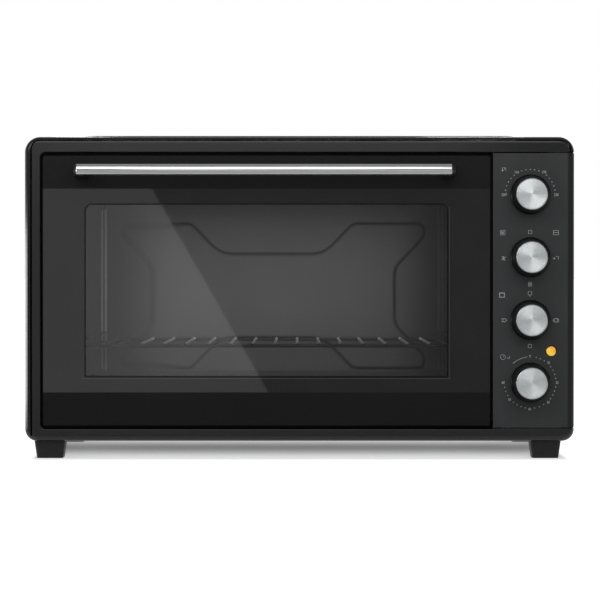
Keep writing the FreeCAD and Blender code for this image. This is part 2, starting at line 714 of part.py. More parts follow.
def make_element(y, z):
    """A straight sheathed rod with a thin terminal pin at each end."""
    x0 = CAVITY_LEFT - ELEMENT_OVERHANG
    x1 = CAVITY_RIGHT + ELEMENT_OVERHANG
    rod = rod_x(x0, x1, y, z, ELEMENT_RADIUS)
    left_pin = rod_x(x0 - TERMINAL_LENGTH, x0 + 1, y, z, TERMINAL_RADIUS)
    right_pin = rod_x(x1 - 1, x1 + TERMINAL_LENGTH, y, z, TERMINAL_RADIUS)
    return joined([rod, left_pin, right_pin])


def make_element_insulators():
    """Ceramic bushes that carry both ends of each element through the side walls."""
    bushes = []
    for _, y, z in element_places():
        for inner, outward in ((CAVITY_LEFT, -1), (CAVITY_RIGHT, 1)):
            body = sorted((inner, inner + outward * INSULATOR_LENGTH))
            flange = sorted((inner + outward * SHEET, inner + outward * (SHEET + INSULATOR_FLANGE)))
            bush = rod_x(body[0], body[1], y, z, INSULATOR_RADIUS)
            bush = bush.fuse(rod_x(flange[0], flange[1], y, z, INSULATOR_RADIUS + INSULATOR_FLANGE))
            bushes.append(bush.cut(rod_x(body[0] - 1, body[1] + 1, y, z, ELEMENT_RADIUS)).removeSplitter())
    return Part.makeCompound(bushes)


def make_wire_rack():
    """A closed loop of wire, with straight wires from front to back let in along its top."""
    left = RACK_MIDDLE - LOOP_HALF_WIDTH
    right = RACK_MIDDLE + LOOP_HALF_WIDTH
    start = Vector(RACK_MIDDLE, RACK_FRONT, LOOP_HEIGHT)
    corners = [start, Vector(right, RACK_FRONT, LOOP_HEIGHT), Vector(right, RACK_REAR, LOOP_HEIGHT),
               Vector(left, RACK_REAR, LOOP_HEIGHT), Vector(left, RACK_FRONT, LOOP_HEIGHT), start]
    wires = [tube_along(corners, LOOP_RADIUS, LOOP_BEND)]
    for index in range(RACK_WIRES):
        x = RACK_MIDDLE + (index - (RACK_WIRES - 1) / 2) * WIRE_PITCH
        wires.append(rod_y(x, RACK_FRONT - WIRE_OVERHANG, RACK_REAR + WIRE_OVERHANG,
                           WIRE_HEIGHT, WIRE_RADIUS))
    return joined(wires)


# Door

def door_box(x_inset, y0, y1, z0, z1):
    return box(DOOR_LEFT + x_inset, DOOR_RIGHT - x_inset, y0, y1, z0, z1)


def handle_screw(x):
    head_radius, head_height = HANDLE_SCREW_HEAD
    seat = FACE + RAIL_WALL
    end = seat + head_height
    head = rod_y(x, seat, end, BAR_HEIGHT, head_radius)
    shank = rod_y(x, BAR_Y - 2.0, seat, BAR_HEIGHT, HANDLE_SCREW_RADIUS)
    cross = cross_box(lambda a, b: box(x - a, x + a, end - 1.1, end + 1, BAR_HEIGHT - b, BAR_HEIGHT + b), 2.6)
    return head.fuse(shank).cut(cross)


def make_handle_post(x):
    """A moulded post, wider at the door, hollowed at its front end to seat the bar."""
    wires = []
    for y, (half_x, half_z) in ((FACE, POST_HALF_AT_DOOR), (BAR_Y, POST_HALF_AT_BAR)):
        outline = rectangle(x - half_x, x + half_x, BAR_HEIGHT - half_z, BAR_HEIGHT + half_z)
        wires.append(rounded_wire([Vector(a, y, b) for a, b in outline], [POST_CORNER] * 4))
    post = Part.makeLoft(wires, True, True)
    post = post.cut(rod_x(x - 30, x + 30, BAR_Y, BAR_HEIGHT, BAR_RADIUS))
    beyond_axis = box(x - 30, x + 30, BAR_Y - 1, BAR_Y + 2.5, BAR_HEIGHT - 10, BAR_HEIGHT + 10)
    return post.cut(beyond_axis).cut(handle_screw(x))


def make_handle_bar():
    bar = rod_x(BAR_LEFT, BAR_RIGHT, BAR_Y, BAR_HEIGHT, BAR_RADIUS)
    bar = bar.makeChamfer(BAR_CHAMFER, [e for e in bar.Edges if e.Length < 40])
    for x in POST_X:
        bar = bar.cut(handle_screw(x))
    return bar


def make_door_top_rail():
    back = FACE + DOOR_THICK - PAN_SHEET
    outline = rectangle(DOOR_LEFT, DOOR_RIGHT, GLASS_TOP, DOOR_TOP)
    rail = prism_y(outline, [0, 0, DOOR_CORNER, DOOR_CORNER], FACE, back)
    hollow = door_box(RAIL_WALL, FACE + RAIL_WALL, back + 1, GLASS_TOP + RAIL_WALL, DOOR_TOP - RAIL_WALL)
    rail = rail.cut(hollow)
    for x in POST_X:
        rail = rail.cut(handle_screw(x))
    return rail


def make_door_bottom_rail():
    """A hollow rail with solid ends for the hinge pins and rounded lower edges that clear the frame."""
    back = FACE + DOOR_THICK - PAN_SHEET
    outline = [(FACE, DOOR_BOTTOM), (back, DOOR_BOTTOM), (back, GLASS_BOTTOM), (FACE, GLASS_BOTTOM)]
    rail = prism_x(outline, [DOOR_CORNER, DOOR_HEEL, 0, 0], DOOR_LEFT, DOOR_RIGHT)
    wall = RAIL_WALL
    inner = [(FACE + wall, DOOR_BOTTOM + wall), (back - wall, DOOR_BOTTOM + wall),
             (back - wall, GLASS_BOTTOM - wall), (FACE + wall, GLASS_BOTTOM - wall)]
    rail = rail.cut(prism_x(inner, [DOOR_CORNER - wall, DOOR_HEEL - wall, 0, 0],
                            DOOR_LEFT + RAIL_END, DOOR_RIGHT - RAIL_END))
    bore = PIN_RADIUS + RUNNING_FIT
    depth = PIN_REACH + 1
    for x0, x1 in ((DOOR_LEFT - 1, DOOR_LEFT + depth), (DOOR_RIGHT - depth, DOOR_RIGHT + 1)):
        rail = rail.cut(rod_x(x0, x1, PIVOT_Y, PIVOT_HEIGHT, bore))
    return rail


def make_door_glass():
    y0 = FACE + GLASS_SETBACK
    return door_box(0, y0, y0 + GLASS_THICK, GLASS_BOTTOM, GLASS_TOP)


def make_door_inner_frame():
    """A pressed steel pan behind the glass: outer walls, a back with the window, and a skirt round it."""
    back = FACE + DOOR_THICK
    front = FACE + GLASS_SETBACK + GLASS_THICK
    sheet = PAN_SHEET
    outline = rectangle(DOOR_LEFT + 1, DOOR_RIGHT - 1, DOOR_BOTTOM + 10, DOOR_TOP - 1)
    panel = prism_y(outline, [DOOR_CORNER] * 4, back - sheet, back)
    walls = door_box(1, front, back - sheet, GLASS_BOTTOM, GLASS_TOP)
    walls = walls.cut(door_box(1 + sheet, front - 1, back, GLASS_BOTTOM - 1, GLASS_TOP + 1))
    x0, x1 = WINDOW_LEFT - PAN_MARGIN, WINDOW_RIGHT + PAN_MARGIN
    z0, z1 = WINDOW_BOTTOM - PAN_MARGIN, WINDOW_TOP + PAN_MARGIN
    window = prism_y(rectangle(x0, x1, z0, z1), [PAN_CORNER] * 4, front - 1, back + 1)
    skirt = prism_y(rectangle(x0 - sheet, x1 + sheet, z0 - sheet, z1 + sheet), [PAN_CORNER + sheet] * 4,
                    front, back - sheet)
    pan = joined([panel, walls, skirt.cut(window)]).cut(window)
    for x in STAY_X:
        pan = pan.cut(box(x - STAY_THICK / 2, x + STAY_THICK / 2, front, back + 1,
                          PIVOT_HEIGHT + STAY_RADII[0] - 6, PIVOT_HEIGHT + STAY_RADII[1] + 1))
    return pan


def make_door_stay(x):
    """A quadrant plate round the hinge line, with a foot that is welded inside the door's pan."""
    half = STAY_THICK / 2
    low, high = (math.radians(angle) for angle in STAY_ANGLES)
    middle = (low + high) / 2
    inner, outer = STAY_RADII

    def on_arc(radius, angle):
        return Vector(x - half, PIVOT_Y + radius * math.cos(angle), PIVOT_HEIGHT + radius * math.sin(angle))

    edges = [Part.Arc(on_arc(outer, low), on_arc(outer, middle), on_arc(outer, high)).toShape(),
             Part.LineSegment(on_arc(outer, high), on_arc(inner, high)).toShape(),
             Part.Arc(on_arc(inner, high), on_arc(inner, middle), on_arc(inner, low)).toShape(),
             Part.LineSegment(on_arc(inner, low), on_arc(outer, low)).toShape()]
    plate = Part.Face(Part.Wire(edges)).extrude(Vector(STAY_THICK, 0, 0))
    back = FACE + DOOR_THICK - PAN_SHEET
    foot = box(x - half - 6, x + half + 6, back - 1.5, back,
               PIVOT_HEIGHT + inner - 1, PIVOT_HEIGHT + outer - 1)
    return joined([plate, foot])


# Controls

def dial_shaft(z):
    """A shaft with a flat on its front part, which the knob's hub fits."""
    shaft = rod_y(DIAL_X, SHAFT_FRONT, SHAFT_REAR, z, SHAFT_RADIUS)
    flat = box(DIAL_X - 5, DIAL_X + 5, SHAFT_FRONT - 1, FACE - 4, z + SHAFT_FLAT, z + 5)
    return shaft.cut(flat)


def make_knob(z, pointer_angle):
    """A black moulded knob with a bevelled skirt, a recess for its cap and a small pointer groove."""
    back = FACE - KNOB_GAP
    front = FACE - KNOB_REACH + CAP_THICK - 0.6
    inside = front + 4.5
    profile = [(0, front), (KNOB_FRONT_RADIUS - 0.6, front), (KNOB_FRONT_RADIUS, front + 0.6),
               (SKIRT_RADIUS - 1.2, back - 6), (SKIRT_RADIUS, back - 4.5), (SKIRT_RADIUS, back),
               (SKIRT_RADIUS - KNOB_WALL, back), (SKIRT_RADIUS - KNOB_WALL, back - 4),
               (KNOB_FRONT_RADIUS - KNOB_WALL, inside), (KNOB_HUB_RADIUS, inside),
               (KNOB_HUB_RADIUS, back - 1), (0, back - 1)]
    knob = turned(profile, DIAL_X, z)
    recess = rod_y(DIAL_X, front - 1, front + 1.0, z, CAP_RADIUS)
    knob = knob.cut(recess).cut(dial_shaft(z))
    groove = box(DIAL_X - 0.6, DIAL_X + 0.6, front - 1, back - 5,
                 z + KNOB_FRONT_RADIUS - 0.2, z + SKIRT_RADIUS + 1)
    groove = groove.cut(rod_y(DIAL_X, front + 2, back, z, SKIRT_RADIUS - 1.7))
    groove.rotate(Vector(DIAL_X, 0, z), Vector(0, 1, 0), pointer_angle)
    return knob.cut(groove)


def make_knob_cap(z):
    """A spun aluminium disc with a bright chamfered rim, seated in the knob's recess."""
    seat = FACE - KNOB_REACH + CAP_THICK + 0.4
    front = FACE - KNOB_REACH
    profile = [(0, seat), (CAP_RADIUS, seat), (CAP_RADIUS, front + CAP_CHAMFER),
               (CAP_RADIUS - CAP_CHAMFER, front), (0, front)]
    return turned(profile, DIAL_X, z)


def with_sleeve(body, z):
    """A control's housing joined to its threaded sleeve, with the bore that the shaft turns in."""
    sleeve = rod_y(DIAL_X, FACE + PANEL_WALL + 2, BRACKET_BACK + 1, z, SLEEVE_RADIUS)
    bore = rod_y(DIAL_X, FACE, SHAFT_REAR + 0.5, z, SHAFT_RADIUS + RUNNING_FIT)
    return joined([sleeve] + body).cut(bore)


def housing_block(half, z, depth):
    return box(DIAL_X - half[0], DIAL_X + half[0], BRACKET_BACK, BRACKET_BACK + depth,
               z - half[1], z + half[1])


def spades(z, spread, count, depth, rise):
    """Flat terminals standing out of the back of a control."""
    tabs = []
    half_x, half_z = SPADE_HALF
    y0 = BRACKET_BACK + depth - 1
    y1 = BRACKET_BACK + depth + SPADE_LENGTH
    for index in range(count):
        x = DIAL_X + (index - (count - 1) / 2) * spread
        tabs.append(box(x - half_x, x + half_x, y0, y1, z + rise - half_z, z + rise + half_z))
    return tabs


def make_thermostat_body():
    z = DIAL_HEIGHTS["temperature"]
    back = BRACKET_BACK + THERMOSTAT_DEPTH
    parts = [housing_block(THERMOSTAT_HALF, z, THERMOSTAT_DEPTH), rod_y(DIAL_X, back - 1, back + 5, z, 11)]
    return with_sleeve(parts + spades(z, 16, 2, THERMOSTAT_DEPTH, THERMOSTAT_SPADE_RISE), z)


def make_switch_body(name):
    z = DIAL_HEIGHTS[name]
    drum = rod_y(DIAL_X, BRACKET_BACK, BRACKET_BACK + SWITCH_DEPTH, z, SWITCH_RADIUS)
    upper = spades(z, 10, 3, SWITCH_DEPTH, SWITCH_SPADE_RISE)
    lower = spades(z, 10, 3, SWITCH_DEPTH, -SWITCH_SPADE_RISE)
    return with_sleeve([drum] + upper + lower, z)


def make_timer_body():
    z = DIAL_HEIGHTS["timer"]
    back = BRACKET_BACK + TIMER_DEPTH
    bell = rod_y(DIAL_X, back, back + BELL_DEPTH, z, BELL_RADIUS)
    return with_sleeve([housing_block(TIMER_HALF, z, TIMER_DEPTH), bell], z)


def make_shaft_nuts():
    nuts = []
    for z in DIAL_HEIGHTS.values():
        corners = []
        for step in range(6):
            angle = math.pi / 3 * step
            corners.append((DIAL_X + NUT_RADIUS * math.cos(angle), z + NUT_RADIUS * math.sin(angle)))
        nut = prism_y(corners, [0] * 6, BRACKET_FRONT - NUT_THICK, BRACKET_FRONT)
        nuts.append(nut.cut(rod_y(DIAL_X, FACE, BRACKET_FRONT + 1, z, SLEEVE_RADIUS)))
    return Part.makeCompound(nuts)


def make_control_panel():
    """The moulded panel: a face that turns round the oven's right side, with stiffening edges behind."""
    back = FACE + FRAME_DEPTH
    wall = PANEL_WALL
    plan = [(PANEL_LEFT, FACE), (SIDE, FACE), (SIDE, back), (PANEL_LEFT, back)]
    block = prism_z(plan, [PANEL_EDGE, PANEL_ROUND, 0, 0], PANEL_BOTTOM, PANEL_TOP)
    inner_plan = [(PANEL_LEFT - 1, FACE + wall), (SIDE - wall, FACE + wall), (SIDE - wall, back + 1),
                  (PANEL_LEFT - 1, back + 1)]
    hollow = prism_z(inner_plan, [0, PANEL_ROUND - wall, 0, 0], PANEL_BOTTOM + wall, PANEL_TOP - wall)
    post_room = box(PANEL_LEFT - 1, PANEL_LEFT + SKIRT_WALL + 3, FACE + wall, back + 1,
                    PANEL_BOTTOM - 1, PANEL_TOP + 1)
    panel = block.cut(hollow).cut(post_room)
    for z in DIAL_HEIGHTS.values():
        panel = panel.cut(rod_y(DIAL_X, FACE - 1, FACE + 4, z, SLEEVE_RADIUS + 1))
    return panel.cut(rod_y(LAMP_X, FACE - 1, FACE + 4, LAMP_HEIGHT, LAMP_RADIUS + 0.7))


def make_switch_bracket():
    """A steel plate that carries the controls, folded back at its left edge to the front plate."""
    left = PANEL_LEFT + BRACKET_MARGIN
    high = PANEL_TOP - 4
    plate = box(left, SIDE - BRACKET_MARGIN, BRACKET_FRONT, BRACKET_BACK, PANEL_BOTTOM + 4, high)
    fold = box(left, left + BRACKET_SHEET, BRACKET_FRONT, PLATE_FRONT, HINGE_HIGH + 4, high)
    bracket = plate.fuse(fold)
    for z in DIAL_HEIGHTS.values():
        bracket = bracket.cut(rod_y(DIAL_X, BRACKET_FRONT - 1, BRACKET_BACK + 1, z, SLEEVE_RADIUS))
    bracket = bracket.cut(rod_y(LAMP_X, BRACKET_FRONT - 1, BRACKET_BACK + 1, LAMP_HEIGHT, LAMP_SLEEVE_RADIUS))
    return bracket.removeSplitter()


def make_pilot_lamp_lens():
    """A low domed amber lens: a cylinder capped by part of a sphere."""
    rim = FACE - 0.4
    sphere_radius = (LAMP_RADIUS ** 2 + LAMP_DOME ** 2) / (2 * LAMP_DOME)
    stem = rod_y(LAMP_X, rim, FACE + PANEL_WALL + 1, LAMP_HEIGHT, LAMP_RADIUS)
    dome = Part.makeSphere(sphere_radius, Vector(LAMP_X, rim - LAMP_DOME + sphere_radius, LAMP_HEIGHT))
    dome = dome.common(rod_y(LAMP_X, rim - 3, rim + 0.1, LAMP_HEIGHT, LAMP_RADIUS))
    return joined([stem, dome])


def make_pilot_lamp_body():
    """The lamp's holder: a collar behind the panel, a neon tube's sleeve and two pins."""
    behind = FACE + PANEL_WALL
    collar = rod_y(LAMP_X, behind + 1, behind + 3.5, LAMP_HEIGHT, LAMP_SLEEVE_RADIUS + 1.6)
    sleeve = rod_y(LAMP_X, behind + 3, FACE + 26, LAMP_HEIGHT, LAMP_SLEEVE_RADIUS)
    pins = [rod_y(LAMP_X + dx, FACE + 25, FACE + 31, LAMP_HEIGHT, 0.8) for dx in (-2.2, 2.2)]
    return joined([collar, sleeve] + pins)


# Fan, motor and the temperature probe

def make_fan_housing():
    """A shallow drum on the outside of the right wall, open towards the cooking space."""
    x0 = CAVITY_RIGHT + SHEET
    x1 = x0 + HOUSING_DEPTH
    drum = rod_x(x0, x1, FAN_Y, FAN_HEIGHT, HOUSING_RADIUS)
    drum = drum.cut(rod_x(x0 - 1, x1 - SHEET, FAN_Y, FAN_HEIGHT, HOUSING_RADIUS - SHEET))
    flange = rod_x(x0, x0 + SHEET, FAN_Y, FAN_HEIGHT, HOUSING_RADIUS + HOUSING_FLANGE)
    flange = flange.cut(rod_x(x0 - 1, x0 + 2, FAN_Y, FAN_HEIGHT, HOUSING_RADIUS - SHEET))
    return joined([drum, flange]).cut(rod_x(x1 - 3, x1 + 1, FAN_Y, FAN_HEIGHT, FAN_SHAFT_RADIUS + 1))


def make_fan_impeller():
    """A radial wheel: a back disc, a hub and flat blades."""
    x0 = FAN_FRONT
    x1 = x0 + FAN_WHEEL_DEPTH
    disc = rod_x(x1 - 1, x1, FAN_Y, FAN_HEIGHT, FAN_RADIUS)
    hub = rod_x(x0, x1, FAN_Y, FAN_HEIGHT, 8)
    pieces = [disc, hub]
    for index in range(FAN_BLADES):
        blade = box(x0, x1, FAN_Y + 7, FAN_Y + FAN_RADIUS - 1, FAN_HEIGHT - 0.6, FAN_HEIGHT + 0.6)
        blade.rotate(Vector(0, FAN_Y, FAN_HEIGHT), Vector(1, 0, 0), 360 * index / FAN_BLADES)
        pieces.append(blade)
    return joined(pieces).cut(rod_x(x0 - 1, x1 + 1, FAN_Y, FAN_HEIGHT, FAN_SHAFT_RADIUS))


def make_fan_rotor():
    shaft = rod_x(FAN_FRONT, MOTOR_REAR - 2, FAN_Y, FAN_HEIGHT, FAN_SHAFT_RADIUS)
    x0 = MOTOR_FRONT + MOTOR_STACK[0] + ROTOR_GAP
    x1 = MOTOR_FRONT + MOTOR_STACK[1] - ROTOR_GAP
    return joined([shaft, rod_x(x0, x1, FAN_Y, FAN_HEIGHT, ROTOR_RADIUS)])


def make_fan_motor():
    """A shaded-pole motor: laminated stack, coil, two bearing bridges and two bolts to the housing."""
    x0 = MOTOR_FRONT
    x1 = MOTOR_REAR
    stack_front = x0 + MOTOR_STACK[0]
    stack_back = x0 + MOTOR_STACK[1]
    stack = box(stack_front, stack_back, FAN_Y - 26, FAN_Y + 26, FAN_HEIGHT - 24, FAN_HEIGHT + 30)
    coil = box(stack_front - 4, stack_back + 4, FAN_Y - 13, FAN_Y + 13, FAN_HEIGHT + 15, FAN_HEIGHT + 27)
    rotor_room = rod_x(stack_front - 1, stack_back + 1, FAN_Y, FAN_HEIGHT, ROTOR_RADIUS + ROTOR_GAP)
    pieces = [stack.cut(rotor_room), coil]
    for xb in (x0, x1 - MOTOR_BRIDGE):
        pieces.append(box(xb, xb + MOTOR_BRIDGE, FAN_Y - 24, FAN_Y + 24, FAN_HEIGHT - 7, FAN_HEIGHT + 7))
    for dy in (-20.0, 20.0):
        pieces.append(rod_x(x0 - 6, x1, FAN_Y + dy, FAN_HEIGHT - 2, 2.0))
    bore = rod_x(x0 - 1, x1 + 1, FAN_Y, FAN_HEIGHT, FAN_SHAFT_RADIUS + RUNNING_FIT)
    return joined(pieces).cut(bore)


def make_thermostat_bulb():
    """The probe through the right wall, and its capillary to the thermostat."""
    x_wall = CAVITY_RIGHT + SHEET
    bulb = rod_x(CAVITY_RIGHT - BULB_LENGTH, x_wall + 6, BULB_Y, BULB_HEIGHT, BULB_RADIUS)
    z = DIAL_HEIGHTS["temperature"]
    finish_y = BRACKET_BACK + THERMOSTAT_DEPTH + 5
    points = [Vector(x_wall + 5.5, BULB_Y, BULB_HEIGHT), Vector(x_wall + 22, BULB_Y, BULB_HEIGHT),
              Vector(x_wall + 30, BULB_Y - 20, z + 14), Vector(DIAL_X, finish_y + 22, z),
              Vector(DIAL_X, finish_y, z)]
    return joined([bulb, tube_along(points, CAPILLARY_RADIUS, CAPILLARY_BEND)])


# Wiring and mains entry

def make_terminal_block():
    """A ceramic connector with three pairs of screws, on the base plate."""
    block = box(BLOCK_X[0], BLOCK_X[1], BLOCK_Y[0], BLOCK_Y[1], BASE_TOP, BLOCK_TOP)
    wells = []
    for index in range(3):
        x = BLOCK_X[0] + BLOCK_INSET[0] + BLOCK_PITCH * index
        for y in (BLOCK_Y[0] + BLOCK_INSET[1], BLOCK_Y[1] - BLOCK_INSET[1]):
            wells.append(rod_z(x, y, BLOCK_TOP - 8, BLOCK_TOP + 1, 2.6))
    return block.cut(Part.makeCompound(wells))


def make_cable_gland():
    """A strain relief: a flanged bush behind the rear cover's hole, with the cable's bore."""
    end = REAR + GLAND_REACH
    flange = REAR + 3
    profile = [(0, end), (7.0, end), (8.2, end - 1.2), (9.0, flange), (12.0, flange), (12.0, REAR), (0, REAR)]
    outside = turned(profile, GLAND_X, GLAND_HEIGHT)
    neck = rod_y(GLAND_X, REAR - 6, REAR + 1, GLAND_HEIGHT, GLAND_RADIUS)
    lock = rod_y(GLAND_X, REAR - 6, REAR - SHEET, GLAND_HEIGHT, GLAND_RADIUS + 2)
    gland = joined([outside, neck, lock])
    return gland.cut(rod_y(GLAND_X, REAR - 8, end + 1, GLAND_HEIGHT, CABLE_RADIUS))


def make_wiring():
    """Leads between the terminal block, the controls and the lower elements' pins."""
    block_top = BLOCK_TOP - 3
    front_y = BLOCK_Y[0] + BLOCK_INSET[1]
    rear_y = BLOCK_Y[1] - BLOCK_INSET[1]
    first, second, third = (BLOCK_X[0] + BLOCK_INSET[0] + BLOCK_PITCH * index for index in range(3))
    timer_back = BRACKET_BACK + TIMER_DEPTH + BELL_DEPTH
    switch_back = BRACKET_BACK + SWITCH_DEPTH + SPADE_LENGTH
    thermostat_back = BRACKET_BACK + THERMOSTAT_DEPTH + SPADE_LENGTH
    heat = DIAL_HEIGHTS["heat"] + SWITCH_SPADE_RISE
    warm = DIAL_HEIGHTS["temperature"] + THERMOSTAT_SPADE_RISE
    leads = [[Vector(first, front_y, block_top), Vector(first, front_y, 70),
              Vector(240, timer_back + 30, 84), Vector(240, timer_back, 84)],
             [Vector(second, front_y, block_top), Vector(second, front_y, 96),
              Vector(DIAL_X + 10, switch_back + 40, heat), Vector(DIAL_X + 10, switch_back, heat)],
             [Vector(third, front_y, block_top), Vector(third, front_y, 120),
              Vector(252, thermostat_back + 40, warm), Vector(DIAL_X + 8, thermostat_back + 1, warm)]]
    pin_x = CAVITY_RIGHT + ELEMENT_OVERHANG + TERMINAL_LENGTH
    z = LOWER_ELEMENT_HEIGHT
    for depth, drop in ((ELEMENT_DEPTHS["rear"], 20.0), (ELEMENT_DEPTHS["front"], 30.0)):
        y = FACE + depth
        leads.append([Vector(pin_x, y, z), Vector(pin_x + 14, y, z),
                      Vector(pin_x + 14, y + 20, 36 + drop / 4),
                      Vector(first, rear_y - 2, 56 + drop / 2), Vector(first, rear_y, block_top)])
    return Part.makeCompound([tube_along(points, LEAD_RADIUS, LEAD_BEND) for points in leads])


def export(name, shape):
    shape.exportStep("parts/" + name + ".step")
    solids = len(shape.Solids)
    size = shape.BoundBox
    valid = "valid" if shape.isValid() else "NOT VALID"
    print(f"{name}: {solids} solid(s), {valid}, X {size.XMin:.1f}..{size.XMax:.1f},"
          f" Y {size.YMin:.1f}..{size.YMax:.1f}, Z {size.ZMin:.1f}..{size.ZMax:.1f}")


def main():
    os.makedirs("parts", exist_ok=True)
    parts = {
        "front_frame": make_front_frame(),
        "outer_casing": make_outer_casing(),
        "base_plate": make_base_plate(),
        "rear_cover": make_rear_cover(),
        "case_screws": make_case_screws(),
        "feet": make_feet(),
        "cavity_front_plate": make_cavity_front_plate(),
        "cavity_top_wall": make_cavity_top_wall(),
        "cavity_floor": make_cavity_floor(),
        "cavity_left_wall": make_side_wall("left"),
        "cavity_right_wall": make_side_wall("right"),
        "cavity_back_wall": make_cavity_back_wall(),
        "lower_reflector": make_lower_reflector(),
        "rack_runner_left": make_runner("left"),
        "rack_runner_right": make_runner("right"),
        "element_insulators": make_element_insulators(),
        "wire_rack": make_wire_rack(),
        "door_top_rail": make_door_top_rail(),
        "door_bottom_rail": make_door_bottom_rail(),
        "door_glass": make_door_glass(),
        "door_inner_frame": make_door_inner_frame(),
        "door_stays": Part.makeCompound([make_door_stay(x) for x in STAY_X]),
        "hinge_brackets": make_hinge_brackets(),
        "handle_bar": make_handle_bar(),
        "handle_post_left": make_handle_post(POST_X[0]),
        "handle_post_right": make_handle_post(POST_X[1]),
        "handle_screws": Part.makeCompound([handle_screw(x) for x in POST_X]),
        "control_panel": make_control_panel(),
        "switch_bracket": make_switch_bracket(),
        "shaft_nuts": make_shaft_nuts(),
        "thermostat_body": make_thermostat_body(),
        "function_switch_body": make_switch_body("function"),
        "heat_switch_body": make_switch_body("heat"),
        "timer_body": make_timer_body(),
        "pilot_lamp_lens": make_pilot_lamp_lens(),
        "pilot_lamp_body": make_pilot_lamp_body(),
        "fan_housing": make_fan_housing(),
        "fan_impeller": make_fan_impeller(),
        "fan_rotor": make_fan_rotor(),
        "fan_motor": make_fan_motor(),
        "thermostat_bulb": make_thermostat_bulb(),
        "terminal_block": make_terminal_block(),
        "cable_gland": make_cable_gland(),
        "wiring": make_wiring(),
    }
    for name, y, z in element_places():
        parts[name] = make_element(y, z)
    for name, z in DIAL_HEIGHTS.items():
        pointer_angle = 90 if name == "temperature" else 0
        parts[name + "_knob"] = make_knob(z, -pointer_angle)
        parts[name + "_knob_cap"] = make_knob_cap(z)
        parts[name + "_shaft"] = dial_shaft(z)
    for name, shape in parts.items():
        export(name, shape)
    print(len(parts), "nodes")


main()
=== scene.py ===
import json
import math

import bmesh
import bpy
import numpy as np
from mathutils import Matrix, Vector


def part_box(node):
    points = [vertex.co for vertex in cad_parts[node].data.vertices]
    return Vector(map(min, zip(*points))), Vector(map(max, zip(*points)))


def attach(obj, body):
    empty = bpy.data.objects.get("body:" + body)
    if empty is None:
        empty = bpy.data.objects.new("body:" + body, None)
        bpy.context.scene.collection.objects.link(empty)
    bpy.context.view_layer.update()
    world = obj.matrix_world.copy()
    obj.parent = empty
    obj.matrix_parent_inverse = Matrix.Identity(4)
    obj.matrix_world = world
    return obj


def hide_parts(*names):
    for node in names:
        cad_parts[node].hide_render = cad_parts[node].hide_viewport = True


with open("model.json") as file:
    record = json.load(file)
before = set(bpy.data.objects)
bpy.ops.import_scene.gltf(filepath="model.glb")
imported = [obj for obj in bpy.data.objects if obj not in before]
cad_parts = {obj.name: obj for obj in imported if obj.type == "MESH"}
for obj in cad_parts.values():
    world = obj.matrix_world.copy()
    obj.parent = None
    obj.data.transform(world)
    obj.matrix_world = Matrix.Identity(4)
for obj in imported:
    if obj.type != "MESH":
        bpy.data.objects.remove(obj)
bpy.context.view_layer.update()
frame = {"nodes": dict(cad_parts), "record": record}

# All lengths are in metres. FACE and REAR are the planes of the oven's front and back.
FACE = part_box("door_top_rail")[0][1]
REAR = FACE + 0.368
BODY_HALF_WIDTH = 0.275

# The camera's place before the front, the width that the picture shows there, and how far the horizon lies
# above the picture's middle, as a share of that width.
CAMERA_DISTANCE = 3.2
CAMERA_X = 0.0005
CAMERA_HEIGHT = 0.1888
PICTURE_WIDTH = 0.6
HORIZON_RISE = 30 / 600

# Shared by a finish and the shape it is on: the middle of the rear wall's pressed field, and a cap's radius.
FIELD_MIDDLE = (-0.0304, 0.160)
CAP_RADIUS = 0.0158


def centre(node):
    low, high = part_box(node)
    return [(a + b) / 2 for a, b in zip(low, high)]


def smooth(value, low, high):
    """0 below low, 1 above high, and an even S-shaped curve between them."""
    t = np.clip((value - low) / (high - low), 0, 1)
    return t * t * (3 - 2 * t)


# Shapes

MERGE_DISTANCE = 2e-7


def add_object(name, data):
    made = bpy.data.objects.new(name, data)
    bpy.context.scene.collection.objects.link(made)
    return made


def rounded(corners, radii, closed=False, steps=6):
    """Points along straight runs between corners, with an arc of its own radius at each corner. Each arc is
    the part of a circle that touches both runs, at even angles."""
    corners = np.array(corners, float)
    count = len(corners)
    points = []
    for index in range(count):
        corner = corners[index]
        if radii[index] == 0 or (not closed and index in (0, count - 1)):
            points.append(corner[None])
            continue
        back = corners[index - 1] - corner
        ahead = corners[(index + 1) % count] - corner
        back /= np.linalg.norm(back)
        ahead /= np.linalg.norm(ahead)
        half_angle = math.acos(np.clip(back @ ahead, -1, 1)) / 2
        inward = (back + ahead) / np.linalg.norm(back + ahead)
        middle = corner + inward * radii[index] / math.sin(half_angle)
        first = corner + back * radii[index] / math.tan(half_angle) - middle
        last = corner + ahead * radii[index] / math.tan(half_angle) - middle
        start = math.atan2(first[1], first[0])
        turn = (math.atan2(last[1], last[0]) - start + math.pi) % (2 * math.pi) - math.pi
        angles = start + turn * np.linspace(0, 1, steps + 1)
        arc = np.stack([np.cos(angles), np.sin(angles)], -1) * radii[index]
        points.append(middle + arc)
    return np.concatenate(points)


def grid_faces(rows, columns, wrap):
    """Quads between neighbouring points of a grid, which closes round its columns where wrap is true."""
    row = np.arange(rows - 1)[:, None]
    column = np.arange(columns if wrap else columns - 1)[None, :]
    here = row * columns + column
    beside = row * columns + (column + 1) % columns
    return np.stack([here, beside, beside + columns, here + columns], -1).reshape(-1, 4)


